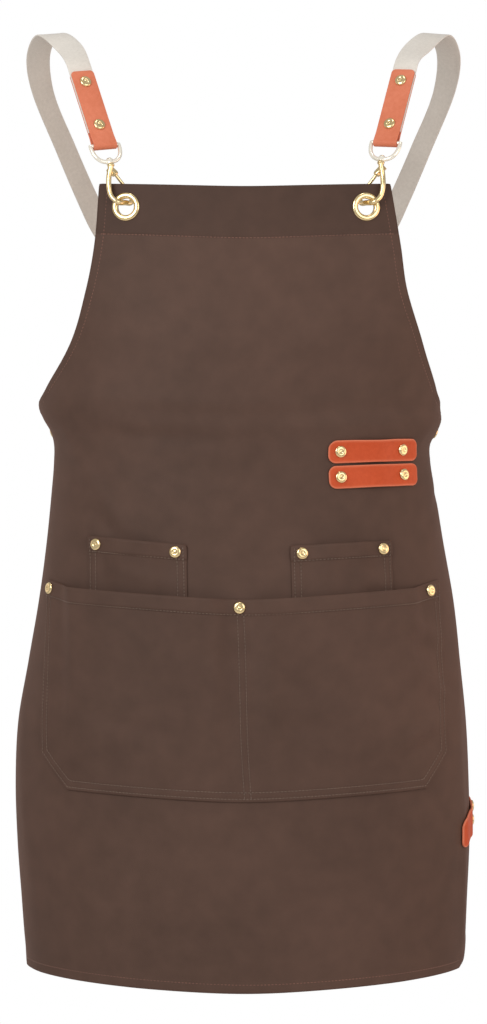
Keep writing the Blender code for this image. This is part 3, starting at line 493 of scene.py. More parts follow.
def makeClothMaterial():
    material = bpy.data.materials.new("waxedCloth")
    nodes, links, shader = nodeTree(material)
    uv = nodes.new("ShaderNodeUVMap")
    uv.uv_map = "UVMap"
    twill = addGroup(nodes, links, twillGroup, uv.outputs["UV"], Pitch=cloth["pitch"])
    mottle = addGroup(nodes, links, mottleGroup, uv.outputs["UV"], Large=5.0, Small=45.0)
    threads = mathNode(nodes, links, "MULTIPLY_ADD", twill.outputs["Height"], 0.12, mottle.outputs["Patches"])
    colour = addRamp(nodes, links, threads, ((0.32, cloth["dark"]), (0.78, cloth["light"])))
    # Painted shade: the colour is darkened over the top hem band, where less light falls on it.
    place = nodes.new("ShaderNodeSeparateXYZ")
    links.new(uv.outputs["UV"], place.inputs["Vector"])
    fade = cloth["hemFade"]
    stops = (1 / fade, cloth["topHem"] / fade)
    band = mathNode(nodes, links, "MULTIPLY_ADD", place.outputs["Y"], *stops, clamp=True)
    hemShadeScale = mathNode(nodes, links, "MULTIPLY_ADD", band, -cloth["hemShade"], 1.0)  # painted shade over the top hem band
    shaded = nodes.new("ShaderNodeVectorMath")
    shaded.operation = "SCALE"
    links.new(colour, shaded.inputs["Vector"])
    links.new(hemShadeScale, shaded.inputs["Scale"])
    links.new(shaded.outputs["Vector"], shader.inputs["Base Color"])
    addRoughness(nodes, links, shader, mottle.outputs["Patches"], cloth["roughness"])
    shader.inputs["Sheen Weight"].default_value = cloth["sheen"]
    shader.inputs["Sheen Tint"].default_value = (*cloth["sheenTint"], 1.0)
    shader.inputs["Sheen Roughness"].default_value = cloth["sheenRoughness"]
    shader.inputs["Specular IOR Level"].default_value = cloth["specular"]
    addBump(nodes, links, shader, twill.outputs["Height"], cloth["bump"], 0.0003)
    return material


thread = {
    "rust": ((0.13, 0.050, 0.034), (0.26, 0.100, 0.064)),
    "brown": ((0.110, 0.068, 0.048), (0.200, 0.130, 0.092)), "roughness": 0.6, "sheen": 0.3,
}


def makeThreadMaterial(tone):
    material = bpy.data.materials.new(tone + "Thread")
    nodes, links, shader = nodeTree(material)
    where = nodes.new("ShaderNodeTexCoord")
    mottle = addGroup(nodes, links, mottleGroup, where.outputs["Object"], Large=40.0, Small=900.0)
    dark, light = thread[tone]
    colour = addRamp(nodes, links, mottle.outputs["Patches"], ((0.35, dark), (0.7, light)))
    links.new(colour, shader.inputs["Base Color"])
    shader.inputs["Roughness"].default_value = thread["roughness"]
    shader.inputs["Sheen Weight"].default_value = thread["sheen"]
    return material


# The edge colour is a painted highlight: a lighter tone for the leather's edges, where they catch the light.
leather = {
    "edge": (0.70, 0.20, 0.11), "roughness": (0.42, 0.56), "grain": 1100.0, "bump": 0.35,
    "specular": 0.17,
}


def makeLeatherMaterial(name, dark, light):
    material = bpy.data.materials.new(name)
    nodes, links, shader = nodeTree(material)
    where = nodes.new("ShaderNodeTexCoord")
    grain = addGroup(nodes, links, grainGroup, where.outputs["Object"], Scale=leather["grain"])
    mottle = addGroup(nodes, links, mottleGroup, where.outputs["Object"], Large=25.0, Small=240.0)
    tone = mathNode(nodes, links, "MULTIPLY_ADD", grain.outputs["Creases"], -0.12, mottle.outputs["Patches"])
    colour = addRamp(nodes, links, tone, ((0.3, dark), (0.66, light)))
    # Painted highlight: the lighter edge colour is mixed in by the mask stored on the points.
    highlightMask = nodes.new("ShaderNodeAttribute")
    highlightMask.attribute_name = "paintedEdgeHighlight"
    atEdge = mixColours(nodes, links, highlightMask.outputs["Fac"], colour, leather["edge"])
    links.new(atEdge, shader.inputs["Base Color"])
    addRoughness(nodes, links, shader, mottle.outputs["Patches"], leather["roughness"])
    shader.inputs["Specular IOR Level"].default_value = leather["specular"]
    addBump(nodes, links, shader, grain.outputs["Height"], leather["bump"], 0.0002)
    return material


web = {
    "dark": (0.42, 0.37, 0.32), "light": (0.68, 0.62, 0.56), "roughness": 0.85, "rib": 0.0014, "bump": 0.6,
    "litDark": (0.58, 0.54, 0.48), "litLight": (0.86, 0.81, 0.75), "litFrom": 0.13, "litTo": 0.30,
    "sheen": 0.25,
}


def makeWebbingMaterial():
    # Ribs across the webbing and a zigzag of warp threads along it, in metres on its own UV map. Over
    # the shoulders, where it faces the light, a lighter copy of its colours is painted in as painted light.
    material = bpy.data.materials.new("wovenWebbing")
    nodes, links, shader = nodeTree(material)
    uv = nodes.new("ShaderNodeUVMap")
    uv.uv_map = "UVMap"
    apart = nodes.new("ShaderNodeSeparateXYZ")
    links.new(uv.outputs["UV"], apart.inputs[0])
    warp = mathNode(nodes, links, "PINGPONG", apart.outputs["X"], 2.5 * web["rib"])
    zig = mathNode(nodes, links, "ADD", apart.outputs["Y"], warp)
    ribs = mathNode(nodes, links, "SINE", mathNode(nodes, links, "MULTIPLY", zig, 2 * math.pi / web["rib"]))
    across = mathNode(nodes, links, "MULTIPLY", apart.outputs["X"], 4 * math.pi / web["rib"])
    ribbed = mathNode(nodes, links, "MULTIPLY_ADD", ribs, 0.3, 0.5)
    height = mathNode(nodes, links, "MULTIPLY_ADD", mathNode(nodes, links, "SINE", across), 0.18, ribbed)
    mottle = addGroup(nodes, links, mottleGroup, uv.outputs["UV"], Large=12.0, Small=300.0)
    patches = mathNode(nodes, links, "MULTIPLY", mottle.outputs["Patches"], 0.65)
    tone = mathNode(nodes, links, "MULTIPLY_ADD", height, 0.35, patches)
    plain = addRamp(nodes, links, tone, ((0.2, web["dark"]), (0.7, web["light"])))
    # Painted light: a lighter copy of the webbing's colours, used over the shoulders.
    paintedLit = addRamp(nodes, links, tone, ((0.2, web["litDark"]), (0.7, web["litLight"])))
    along = nodes.new("ShaderNodeMapRange")
    links.new(apart.outputs["Y"], along.inputs["Value"])
    for label, value in (("From Min", web["litFrom"]), ("From Max", web["litTo"])):
        along.inputs[label].default_value = value
    links.new(mixColours(nodes, links, along.outputs["Result"], paintedLit, plain), shader.inputs["Base Color"])
    shader.inputs["Roughness"].default_value = web["roughness"]
    shader.inputs["Sheen Weight"].default_value = web["sheen"]
    addBump(nodes, links, shader, height, web["bump"], 0.0004)
    return material


def makeMetalMaterial(name, dark, light, roughness, metallic=1.0):
    material = bpy.data.materials.new(name)
    nodes, links, shader = nodeTree(material)
    where = nodes.new("ShaderNodeTexCoord")
    mottle = addGroup(nodes, links, mottleGroup, where.outputs["Object"], Large=90.0, Small=1400.0)
    colour = addRamp(nodes, links, mottle.outputs["Patches"], ((0.35, dark), (0.65, light)))
    links.new(colour, shader.inputs["Base Color"])
    addRoughness(nodes, links, shader, mottle.outputs["Patches"], roughness)
    shader.inputs["Metallic"].default_value = metallic
    addBump(nodes, links, shader, mottle.outputs["Patches"], 0.12, 0.0001)
    return material


clothMaterial = makeClothMaterial()
threads = {tone: makeThreadMaterial(tone) for tone in ("rust", "brown")}
strapLeather = makeLeatherMaterial("rustLeather", (0.50, 0.071, 0.020), (0.60, 0.097, 0.033))
# Painted light: the tabs, which face the light up front, get a lighter copy of the strap leather's colours.
tabLeather = makeLeatherMaterial("rustLeatherLit", (0.61, 0.172, 0.090), (0.72, 0.230, 0.134))
webbingMaterial = makeWebbingMaterial()
brassMaterial = makeMetalMaterial("paleBrass", (0.80, 0.60, 0.30), (0.93, 0.75, 0.43), (0.14, 0.30))
# The rings are only partly like a mirror, so that they are nearly white in the light.
ringMaterial = makeMetalMaterial("paleGilt", (0.92, 0.87, 0.75), (0.98, 0.94, 0.84), (0.12, 0.24), 0.45)
print("materials made")

# Camera and light

camera = {"distance": 2.8, "height": -0.4974, "lens": 94.22, "sensor": 36.0}
cameraObject = addObject("camera", bpy.data.cameras.new("camera"))
cameraObject.data.lens = camera["lens"]
cameraObject.data.sensor_width = camera["sensor"]
cameraObject.location = (0.0, -camera["distance"], camera["height"])
cameraObject.rotation_euler = (math.radians(90), 0.0, 0.0)
bpy.context.scene.camera = cameraObject

lights = (
    # name, place, aimed at, size, power, colour
    ("keyLight", (-0.9, -1.6, 0.25), (0.0, -0.1, -0.30), 0.9, 17.0, (1.0, 0.98, 0.95)),
    ("fillLight", (1.2, -1.8, 0.05), (0.0, -0.1, -0.32), 1.2, 9.5, (1.0, 0.97, 0.94)),
    ("topLight", (0.1, -0.7, 1.7), (0.0, -0.1, -0.4), 0.4, 4.0, (1.0, 0.98, 0.95)),
    ("rightRim", (1.5, -0.1, -0.5), (0.2, 0.0, -0.6), 1.0, 5.5, (1.0, 0.64, 0.46)),
    ("leftRim", (-1.5, 0.6, -0.3), (-0.2, 0.0, -0.5), 1.0, 1.5, (1.0, 0.80, 0.70)),
)
for name, place, aim, size, power, colour in lights:
    lamp = bpy.data.lights.new(name, "AREA")
    lamp.size = size
    lamp.energy = power
    lamp.color = colour
    lampObject = addObject(name, lamp)
    lampObject.location = place
    lampObject.rotation_euler = (Vector(aim) - Vector(place)).to_track_quat("-Z", "Y").to_euler()

studio = {"backdrop": 1.0, "ambient": 0.47, "tint": (1.0, 0.99, 0.97, 1.0)}
world = bpy.data.worlds.new("studio")
bpy.context.scene.world = world
world.use_nodes = True
worldNodes, worldLinks = world.node_tree.nodes, world.node_tree.links
backdrop = worldNodes["Background"]
backdrop.inputs["Color"].default_value = (1.0, 1.0, 1.0, 1.0)
backdrop.inputs["Strength"].default_value = studio["backdrop"]
ambient = worldNodes.new("ShaderNodeBackground")
ambient.inputs["Color"].default_value = studio["tint"]
ambient.inputs["Strength"].default_value = studio["ambient"]
rays = worldNodes.new("ShaderNodeLightPath")
choose = worldNodes.new("ShaderNodeMixShader")
worldLinks.new(rays.outputs["Is Camera Ray"], choose.inputs["Fac"])
worldLinks.new(ambient.outputs["Background"], choose.inputs[1])
worldLinks.new(backdrop.outputs["Background"], choose.inputs[2])
worldLinks.new(choose.outputs["Shader"], worldNodes["World Output"].inputs["Surface"])
bpy.context.scene.view_settings.view_transform = "Standard"

floor = {"height": -1.4, "reach": 1.9, "colour": (0.9, 0.89, 0.88, 1.0), "roughness": 0.9}
floorMesh = bpy.data.meshes.new("floor")
reach = floor["reach"]
corners = [(x * reach, y * reach, floor["height"]) for x, y in ((-1, -1), (1, -1), (1, 1), (-1, 1))]
floorMesh.from_pydata(corners, [], [(0, 1, 2, 3)])
floorMaterial = bpy.data.materials.new("paleFloor")
floorNodes, floorLinks, floorShader = nodeTree(floorMaterial)
floorShader.inputs["Base Color"].default_value = floor["colour"]
floorShader.inputs["Roughness"].default_value = floor["roughness"]
floorMesh.materials.append(floorMaterial)
floorObject = addObject("floor", floorMesh)
print("studio made")

# The apron's cloth

apron = {
    "cloth": 0.0016, "hemCloth": 0.0030, "hem": cloth["topHem"], "sideHem": 0.009, "stitchIn": 0.008,
    "grid": 0.0040, "edgeGrid": 0.0015, "edgeColumns": 9, "hemRelief": 0.00045, "groove": 0.00028,
    "grooveWidth": 0.0011, "area": 0.4410, "grommet": (0.1215, 0.0225, 0.0098),
    "hemStitch": 0.0009, "hemStep": 0.0015, "sideStep": 0.002, "hemClear": 0.004,
    "hemRows": (-0.0035, -0.002, -0.0009, 0.0, 0.0012, 0.003), "toolHalf": 0.02,
}


def edgeLine(side, downs):
    # How far across the side edge lies at each height.
    s = section(downs)
    turn = np.radians(s["right"] if side > 0 else -s["left"])
    lengths = arcLengths(downs)
    return np.array([np.interp(t, turnSamples, row) for t, row in zip(turn, lengths)])


def gridSteps(length, fine, coarse, fineCount):
    ends = fine * np.arange(fineCount)
    count = max(2, int((length - 2 * ends[-1]) / coarse))
    between = np.linspace(ends[-1] + fine, length - ends[-1] - fine, count)
    return np.concatenate([ends, between, length - ends[::-1]])


def withHemRows(downs, hemEnd):
    # The rows of a grid, with finer ones where the hem ends.
    downs = downs[np.abs(downs - hemEnd) > apron["hemClear"]]
    return np.sort(np.concatenate([downs, hemEnd + np.array(apron["hemRows"])]))


def distanceToLine(across, down, line):
    # Distance from each place to a line of places on the flat cloth.
    best = np.full(across.shape, 1.0)
    for (a0, d0), (a1, d1) in zip(line[:-1], line[1:]):
        length2 = (a1 - a0) ** 2 + (d1 - d0) ** 2
        t = np.clip(((across - a0) * (a1 - a0) + (down - d0) * (d1 - d0)) / length2, 0, 1)
        best = np.minimum(best, np.hypot(across - a0 - t * (a1 - a0), down - d0 - t * (d1 - d0)))
    return best


def groove(distance, width):
    return np.exp(-((distance / width) ** 2))


lineDowns = np.linspace(0.0, body["length"], 90)
sideLines = {side: np.stack([edgeLine(side, lineDowns), lineDowns], -1) for side in (-1, 1)}


def makeApronCloth():
    length, fine = body["length"], apron["edgeGrid"]
    hemEnd = apron["hem"]
    downs = withHemRows(gridSteps(length, fine, apron["grid"] * 0.9, apron["edgeColumns"]), hemEnd)
    left, right = edgeLine(-1, downs), edgeLine(1, downs)
    wide = (right - left).max()
    columns = int((wide - 2 * apron["edgeColumns"] * fine) / apron["grid"])
    fixed = fine * np.arange(apron["edgeColumns"])
    share = np.linspace(0, 1, columns)
    inner = left[:, None] + fixed[-1] + fine + (right - left - 2 * (fixed[-1] + fine))[:, None] * share
    across = np.concatenate([left[:, None] + fixed, inner, right[:, None] - fixed[::-1]], axis=1)
    down = np.broadcast_to(downs[:, None], across.shape)
    toEdge = np.minimum(*(distanceToLine(across, down, sideLines[side]) for side in (-1, 1)))
    toEdge = np.minimum(toEdge, length - down)
    banded = np.clip((apron["sideHem"] - toEdge) / apron["sideStep"] + 0.5, 0, 1)
    topBand = np.clip((hemEnd - down) / apron["hemStep"], 0, 1)
    relief = apron["hemRelief"] * np.maximum(banded, topBand * 0.8)
    relief = relief - apron["groove"] * groove(toEdge - apron["stitchIn"], apron["grooveWidth"])
    relief = relief - apron["groove"] * groove(down - hemEnd + apron["hemStitch"], apron["grooveWidth"])
    thick = apron["cloth"] + (apron["hemCloth"] - apron["cloth"]) * np.maximum(banded, topBand)
    outerPoints = onPanel(across, down, relief)
    innerPoints = onPanel(across, down, -thick)
    piece = clothWall("apronCloth", outerPoints, innerPoints, np.stack([across, -down], -1), clothMaterial)
    widths = right - left
    area = float(np.sum((widths[1:] + widths[:-1]) / 2 * np.diff(downs)))
    print("apron cloth: flat area", round(area, 4), "widest", round(float(wide), 4))
    return piece


def cutHoles(piece, places):
    for middle, axis, radius in places:
        profile = ((radius, -apron["toolHalf"]), (radius, apron["toolHalf"]))
        tool = turned("holeTool", profile, middle, axis, 40, piece.data.materials[0])
        step = piece.modifiers.new("hole", "BOOLEAN")
        step.operation = "DIFFERENCE"
        step.solver = "EXACT"
        step.object = tool
        bpy.context.view_layer.update()
        shaped = bpy.data.meshes.new_from_object(piece.evaluated_get(bpy.context.evaluated_depsgraph_get()))
        piece.modifiers.clear()
        piece.data = shaped
        bpy.data.objects.remove(tool)


def grommetAxes(side):
    turn = turnAt(np.array(side * apron["grommet"][0]), np.array(apron["grommet"][1]))
    down = np.array(apron["grommet"][1])
    middle, out = atTurn(turn, down), outward(turn, down)
    up = crossways(out, np.array([0.0, 0.0, 1.0]))
    inward = np.cross(up, out) * side
    inward = inward if inward[0] * side < 0 else -inward
    return middle, inward, out, up


apronCloth = makeApronCloth()
cutHoles(apronCloth, [(*grommetAxes(side)[0::2], apron["grommet"][2]) for side in (-1, 1)])
finishPiece(apronCloth, "apron", "cloth", "apron_panel")
print("apron cloth made")

# Pockets

pocket = {
    "top": 0.4142, "height": 0.200, "half": 0.2235, "cut": 0.033, "bulge": 0.009, "hem": 0.015,
    "leanTop": -0.0065, "leanBottom": 0.006, "seamHalf": 0.007, "flat": 0.024, "ramp": 0.024,
    "mouthRise": 0.0055, "riseWidth": 0.050, "riseFall": 3, "fall": 1,
    "gap": 0.0005, "stitch": 0.0025, "stitchPair": 0.0065, "puff": 0.0012, "puffRamp": 0.06,
    "rivetDown": 0.0070, "rivetLeft": 0.0085, "rivetRight": 0.0165, "grid": 0.0036,
    "grooveWidth": 0.0012, "seamClear": 0.008, "seamSteps": 5, "seamRelief": 0.0002, "seamWidth": 0.002,
    "weaveShift": (0.003, 0.004),
}
smallPocket = {
    "tops": {"Left": 0.3612, "Right": 0.3633}, "middles": {"Left": -0.1127, "Right": 0.1000},
    "height": 0.150, "width": 0.107, "lean": 0.0019, "bulge": 0.007, "fall": 3, "flat": 0.016,
    "rivetIn": 0.0105,
}


def ramp(share):
    share = np.clip(share, 0.0, 1.0)
    return share * share * (3 - 2 * share)


def mouthRise(away):
    # How much higher the mouth of the front pocket lies at a distance from its middle.
    return pocket["mouthRise"] * ramp((away - pocket["half"]) / pocket["riseWidth"] + 1)


# A pocket's shape: its middle at the top and bottom, half its width, its top edge, height, bulge and
# how the bulge falls, its sewn margin, its cut corners, whether it has a middle seam, and how far its
# mouth leans.
shapeKeys = ("middles", "half", "top", "height", "bulge", "fall", "flat", "cut", "seams", "tilt")
frontShape = dict(zip(shapeKeys, (
    (pocket["leanTop"], pocket["leanBottom"]), pocket["half"], pocket["top"], pocket["height"],
    pocket["bulge"], pocket["fall"], pocket["flat"], pocket["cut"], True, 0.0,
)))
smallShapes = {
    side: dict(zip(shapeKeys, (
        (middle, middle), smallPocket["width"] / 2, smallPocket["tops"][side], smallPocket["height"],
        smallPocket["bulge"], smallPocket["fall"], smallPocket["flat"], 0.0, False, smallPocket["lean"],
    )))
    for side, middle in smallPocket["middles"].items()
}


def mouthLift(shape, columns, share):
    # The mouth's own line: higher at the ends of the front pocket, leaning on the small ones.
    raised = mouthRise(np.abs(columns)) if shape["seams"] else -shape["tilt"] * columns / (2 * shape["half"])
    return raised * (1 - share) ** pocket["riseFall"]


def pocketRises(shape, away):
    rises = ramp((shape["half"] - shape["flat"] - away) / pocket["ramp"])
    if shape["seams"]:
        rises = rises * ramp((away - pocket["seamHalf"]) / pocket["ramp"])
    return rises


def pocketWall(name, shape):
    middles, half, top, height = (shape[key] for key in ("middles", "half", "top", "height"))
    bulge, fall, cutCorner, seams = (shape[key] for key in ("bulge", "fall", "cut", "seams"))
    fine = apron["edgeGrid"]
    columns = gridSteps(2 * half, fine, pocket["grid"], apron["edgeColumns"]) - half
    if seams:
        columns = columns[np.abs(columns) > pocket["seamClear"]]
        steps = np.arange(-pocket["seamSteps"], pocket["seamSteps"] + 1)
        columns = np.sort(np.concatenate([columns, fine * steps]))
    hemEnd = top + pocket["hem"]
    downs = top + gridSteps(height, fine, pocket["grid"], apron["edgeColumns"])
    downs = withHemRows(downs, hemEnd)[:, None]
    share = (downs - top) / height
    middle = middles[0] + (middles[1] - middles[0]) * share
    drawnIn = np.clip(downs - (top + height - cutCorner), 0.0, None)
    across = middle + columns * (half - drawnIn) / half
    rises = pocketRises(shape, np.abs(columns))
    down = np.broadcast_to(downs, across.shape)
    fromSide = (half - drawnIn) - np.abs(across - middle)
    fromCorner = (half + top + height - cutCorner - (np.abs(across - middle) + down)) / math.sqrt(2)
    fromSide = np.minimum(fromSide, fromCorner) if cutCorner else fromSide
    fromEdge = np.minimum(fromSide, top + height - down)
    hemBand = np.clip((hemEnd - down) / apron["hemStep"], 0, 1)
    seam = np.abs(across - middle)
    sewn = [fromEdge - pocket["stitch"], fromEdge - pocket["stitch"] - pocket["stitchPair"]]
    sewn.append(down - hemEnd + apron["hemStitch"])
    if seams:
        sewn.append(seam - pocket["stitchPair"] / 2)
    relief = np.zeros(across.shape)
    for distance in sewn:
        relief = relief - apron["groove"] * groove(distance, pocket["grooveWidth"])
    if seams:
        relief = relief + pocket["seamRelief"] * groove(seam, pocket["seamWidth"])
    out = pocket["gap"] + bulge * rises * (1 - share) ** fall
    waves = 0.35 * np.sin(across * 41 + down * 17) + 0.25 * np.sin(across * 23 - down * 61 + 1.3)
    soft = pocket["puff"] * ramp(fromEdge / pocket["puffRamp"]) * waves
    out = out + np.where(out > pocket["gap"] + 0.0004, soft * rises, 0.0)
    out = np.maximum(out, pocket["gap"])
    thick = apron["cloth"] + (apron["hemCloth"] - apron["cloth"]) * hemBand
    down = down - mouthLift(shape, columns, share)
    outer = onPanel(across, down, out + thick + relief)
    inner = onPanel(across, down, out)
    shiftX, shiftY = pocket["weaveShift"]
    return clothWall(name, outer, inner, np.stack([across + shiftX, -down + shiftY], -1), clothMaterial)


frontPocket = pocketWall("frontPocket", frontShape)
finishPiece(frontPocket, "apron", "cloth", "front_pocket")
for side, shape in smallShapes.items():
    made = pocketWall("smallPocket" + side, shape)
    finishPiece(made, "apron", "cloth", "small_pocket_" + side.lower())
print("pockets made")

# Leather straps

toolStrap = {
    "length": 0.106, "width": 0.023, "start": 0.0875, "downs": {"Upper": 0.2699, "Lower": 0.2958},
    "rise": -0.0024, "corner": 0.008, "arch": 0.0025, "rivetLeft": 0.0125, "rivetRight": 0.020,
    "flatEnd": 0.013, "seat": 0.0008, "leather": 0.0020, "edgeRound": 0.0007, "highlightWidth": 0.0011,
}
sideStrap = {
    "start": 0.252, "length": 0.066, "width": 0.028, "down": 0.669, "rise": 0.022, "arch": 0.001,
    "rivetIn": 0.013,
}


def cornerHalf(width, corner, fromEnd):
    reach = np.clip(fromEnd, 0.0, corner)
    return width / 2 - corner + np.sqrt(corner**2 - (corner - reach) ** 2)


def addPaintedEdgeHighlight(piece, values):
    # Stores the painted highlight mask for the leather's edges.
    layer = piece.data.attributes.new("paintedEdgeHighlight", "FLOAT", "POINT")
    layer.data.foreach_set("value", np.asarray(values, float))


def leatherStrap(name, start, length, width, flats, down, rise, arch, material):
    corner, rounding = toolStrap["corner"], toolStrap["edgeRound"]
    ends = corner * (1 - np.cos(np.linspace(0, math.pi / 2, 10)))
    along = np.concatenate([ends, np.linspace(corner, length - corner, 34)[1:-1], length - ends[::-1]])
    fromEnd = np.minimum(along, length - along)
    half = cornerHalf(width, corner, fromEnd)
    inset = np.array([0.0, 0.15, 0.5, 1.0, 1.8, 4.0]) * rounding
    rounded = inset / (width / 2)
    shares = np.concatenate([-1 + rounded, np.linspace(-0.6, 0.6, 7), 1 - rounded[::-1]])
    off = np.sin(np.pi * np.clip((along - flats[0]) / (length - sum(flats)), 0, 1)) * arch
    downs = down - rise * along / length + shares[:, None] * half
    across = np.broadcast_to(start + along, downs.shape)
    fromEdge = np.minimum((1 - np.abs(shares))[:, None] * half, np.broadcast_to(fromEnd, downs.shape))
    curved = np.clip(1 - fromEdge / rounding, 0, 1)
    atEdge = rounding * (1 - np.sqrt(np.clip(1 - curved**2, 0, 1))) * 0.8
    lifted = toolStrap["seat"] + np.broadcast_to(off, downs.shape)
    outer = onPanel(across, downs, lifted + toolStrap["leather"] - atEdge)
    inner = onPanel(across, downs, lifted + atEdge * 0.5)
    piece = clothWall(name, outer, inner, np.stack([across, -downs], -1), material, 0.25)
    # Painted highlight mask: lighter along the outer face's edges and all over the cut sides.
    highlightMask = np.exp(-((fromEdge / toolStrap["highlightWidth"]) ** 2)).ravel()
    rim = len(piece.data.vertices) - 2 * highlightMask.size
    addPaintedEdgeHighlight(piece, np.concatenate([highlightMask, highlightMask * 0, np.ones(rim)]))
    return piece


for level, down in toolStrap["downs"].items():
    made = leatherStrap(
        "toolStrap" + level, toolStrap["start"], toolStrap["length"], toolStrap["width"],
        (toolStrap["rivetLeft"] + toolStrap["flatEnd"], toolStrap["rivetRight"] + toolStrap["flatEnd"]),
        down, toolStrap["rise"], toolStrap["arch"], strapLeather,
    )
    finishPiece(made, "apron", "leather", "tool_strap_" + level.lower())
made = leatherStrap(
    "sideStrap", sideStrap["start"], sideStrap["length"], sideStrap["width"],
    (sideStrap["rivetIn"] + toolStrap["flatEnd"],) * 2, sideStrap["down"], sideStrap["rise"],
    sideStrap["arch"], strapLeather,
)
finishPiece(made, "apron", "leather", "side_strap")

# The harness: leather tabs, webbing and its rings

harness = {
    "tabTops": {"left": (-0.1655, -0.070, -0.0498), "right": (0.1640, -0.070, -0.0482)},
    "ringBars": {"left": (-0.1402, -0.098, -0.1278), "right": (0.1437, -0.098, -0.1250)},
    "edgeOut": (0.893, -0.428, -0.138), "webWidth": 0.026, "web": 0.0018, "tabWidth": 0.025,
    "tabCorner": 0.004, "wire": 0.0021, "ringHalf": 0.0155, "ringHeight": 0.0195, "squareness": 0.8,
    "rivetsFromTop": (0.013, 0.064), "webInTab": 0.071, "straightOn": 0.010, "tabRound": 0.0006,
    "webRound": 0.0007, "weaveShift": 0.03,
}
strapShape = {"halfSpan": 0.204, "backDepth": 0.128, "drop": 0.400, "crossingGap": 0.0012, "step": 0.0045}
strapRowTable = (
    # out, back, up, and the direction across the webbing: out, back, up
    (0.878, -0.330, -0.050, 0.96, -0.10, -0.25),
    (1.000, 0.000, 0.002, 0.95, -0.30, -0.10),
    (1.063, 0.270, -0.036, 0.86, -0.50, 0.00),
    (1.053, 0.550, -0.118, 0.74, -0.67, -0.05),
    (0.940, 0.780, -0.264, 0.75, -0.60, -0.25),
    (0.829, 0.900, -0.395, 0.75, -0.50, -0.40),
    (0.756, 0.940, -0.470, 0.72, -0.42, -0.50),
    (0.515, 0.980, -0.625, 0.65, -0.20, -0.70),
    (0.000, 1.000, -0.795, 0.57, 0.00, -0.82),
    (-0.500, 0.978, -0.905, 0.42, 0.00, -0.92),
    (-0.820, 0.640, -0.975, 0.30, 0.05, -0.95),
)
crossingRows = (7, 8, 9)
strapEnd = {"turns": (104.0, 97.0, 89.0), "down": 0.254, "gap": 0.0024, "rivetTurn": 99.0, "capGap": 0.0010}
sides = {"left": -1, "right": 1}


def harnessAxes(side):
    top, bar = np.array(harness["tabTops"][side]), np.array(harness["ringBars"][side])
    along = unit(bar - top)
    out, back, up = harness["edgeOut"]
    edgeWay = crossways(along, np.array([out * sides[side], back, up]))
    face = np.cross(along, edgeWay)
    return top, bar, along, face if face[1] < 0 else -face, edgeWay


def makeTab(side):
    top, bar, along, face, edgeWay = harnessAxes(side)
    length = float(np.linalg.norm(bar - top))
    thick = toolStrap["leather"]
    layer = harness["web"] / 2 + seatGap + thick / 2
    around = harness["wire"] + seatGap + thick / 2
    corner = harness["tabCorner"]
    starts = list(corner * (1 - np.cos(np.linspace(0.12, math.pi / 2, 8))))
    fold = [(s - length, layer) for s in starts + list(np.linspace(corner, length - 3 * around, 16)[1:])]
    bend = [(around * math.sin(a), around * math.cos(a)) for a in np.linspace(0, math.pi, 19)]
    path = np.array(fold + bend + [(s, -m) for s, m in reversed(fold)])
    tangent = unit(np.gradient(path, axis=0))
    tangent[: len(fold) - 1] = (1.0, 0.0)
    tangent[1 - len(fold) :] = (-1.0, 0.0)
    normal = np.stack([-tangent[:, 1], tangent[:, 0]], -1)
    half = cornerHalf(harness["tabWidth"], corner, path[:, 0] + length)
    rings, highlightMask, uvs = [], [], []
    travelled = 0.0
    last = path[0]
    for (s, m), (ns, nm), wide in zip(path, normal, half):
        travelled += float(np.hypot(s - last[0], m - last[1]))
        last = (s, m)
        ring = []
        for a, b in roundedSection(2 * wide, thick, harness["tabRound"]):
            ring.append(bar + along * (s + b * ns) + face * (m + b * nm) + edgeWay * a)
            # Painted highlight mask on the tab's edges.
            highlightMask.append(1.0 if abs(a) > wide - harness["tabRound"] else 0.0)
            uvs.append((a, travelled))
        rings.append(ring)
    piece = loft("strapTab" + side.capitalize(), rings, tabLeather, uv=uvs)
    addPaintedEdgeHighlight(piece, highlightMask)
    return piece


def flatPlace(turn, down, width):
    upper, lower = (atTurn(turn, np.array(down + hand * width / 2)) for hand in (-1, 1))
    wayDown = unit(lower - upper)
    return (upper + lower) / 2, crossways(wayDown, outward(turn, np.array(down))), wayDown


def wingInside(sign, degrees):
    turn = np.array(sign * math.radians(degrees))
    middle, out, lower = flatPlace(turn, strapEnd["down"], harness["webWidth"])
    return middle - out * (apron["cloth"] + strapEnd["gap"]), out, lower


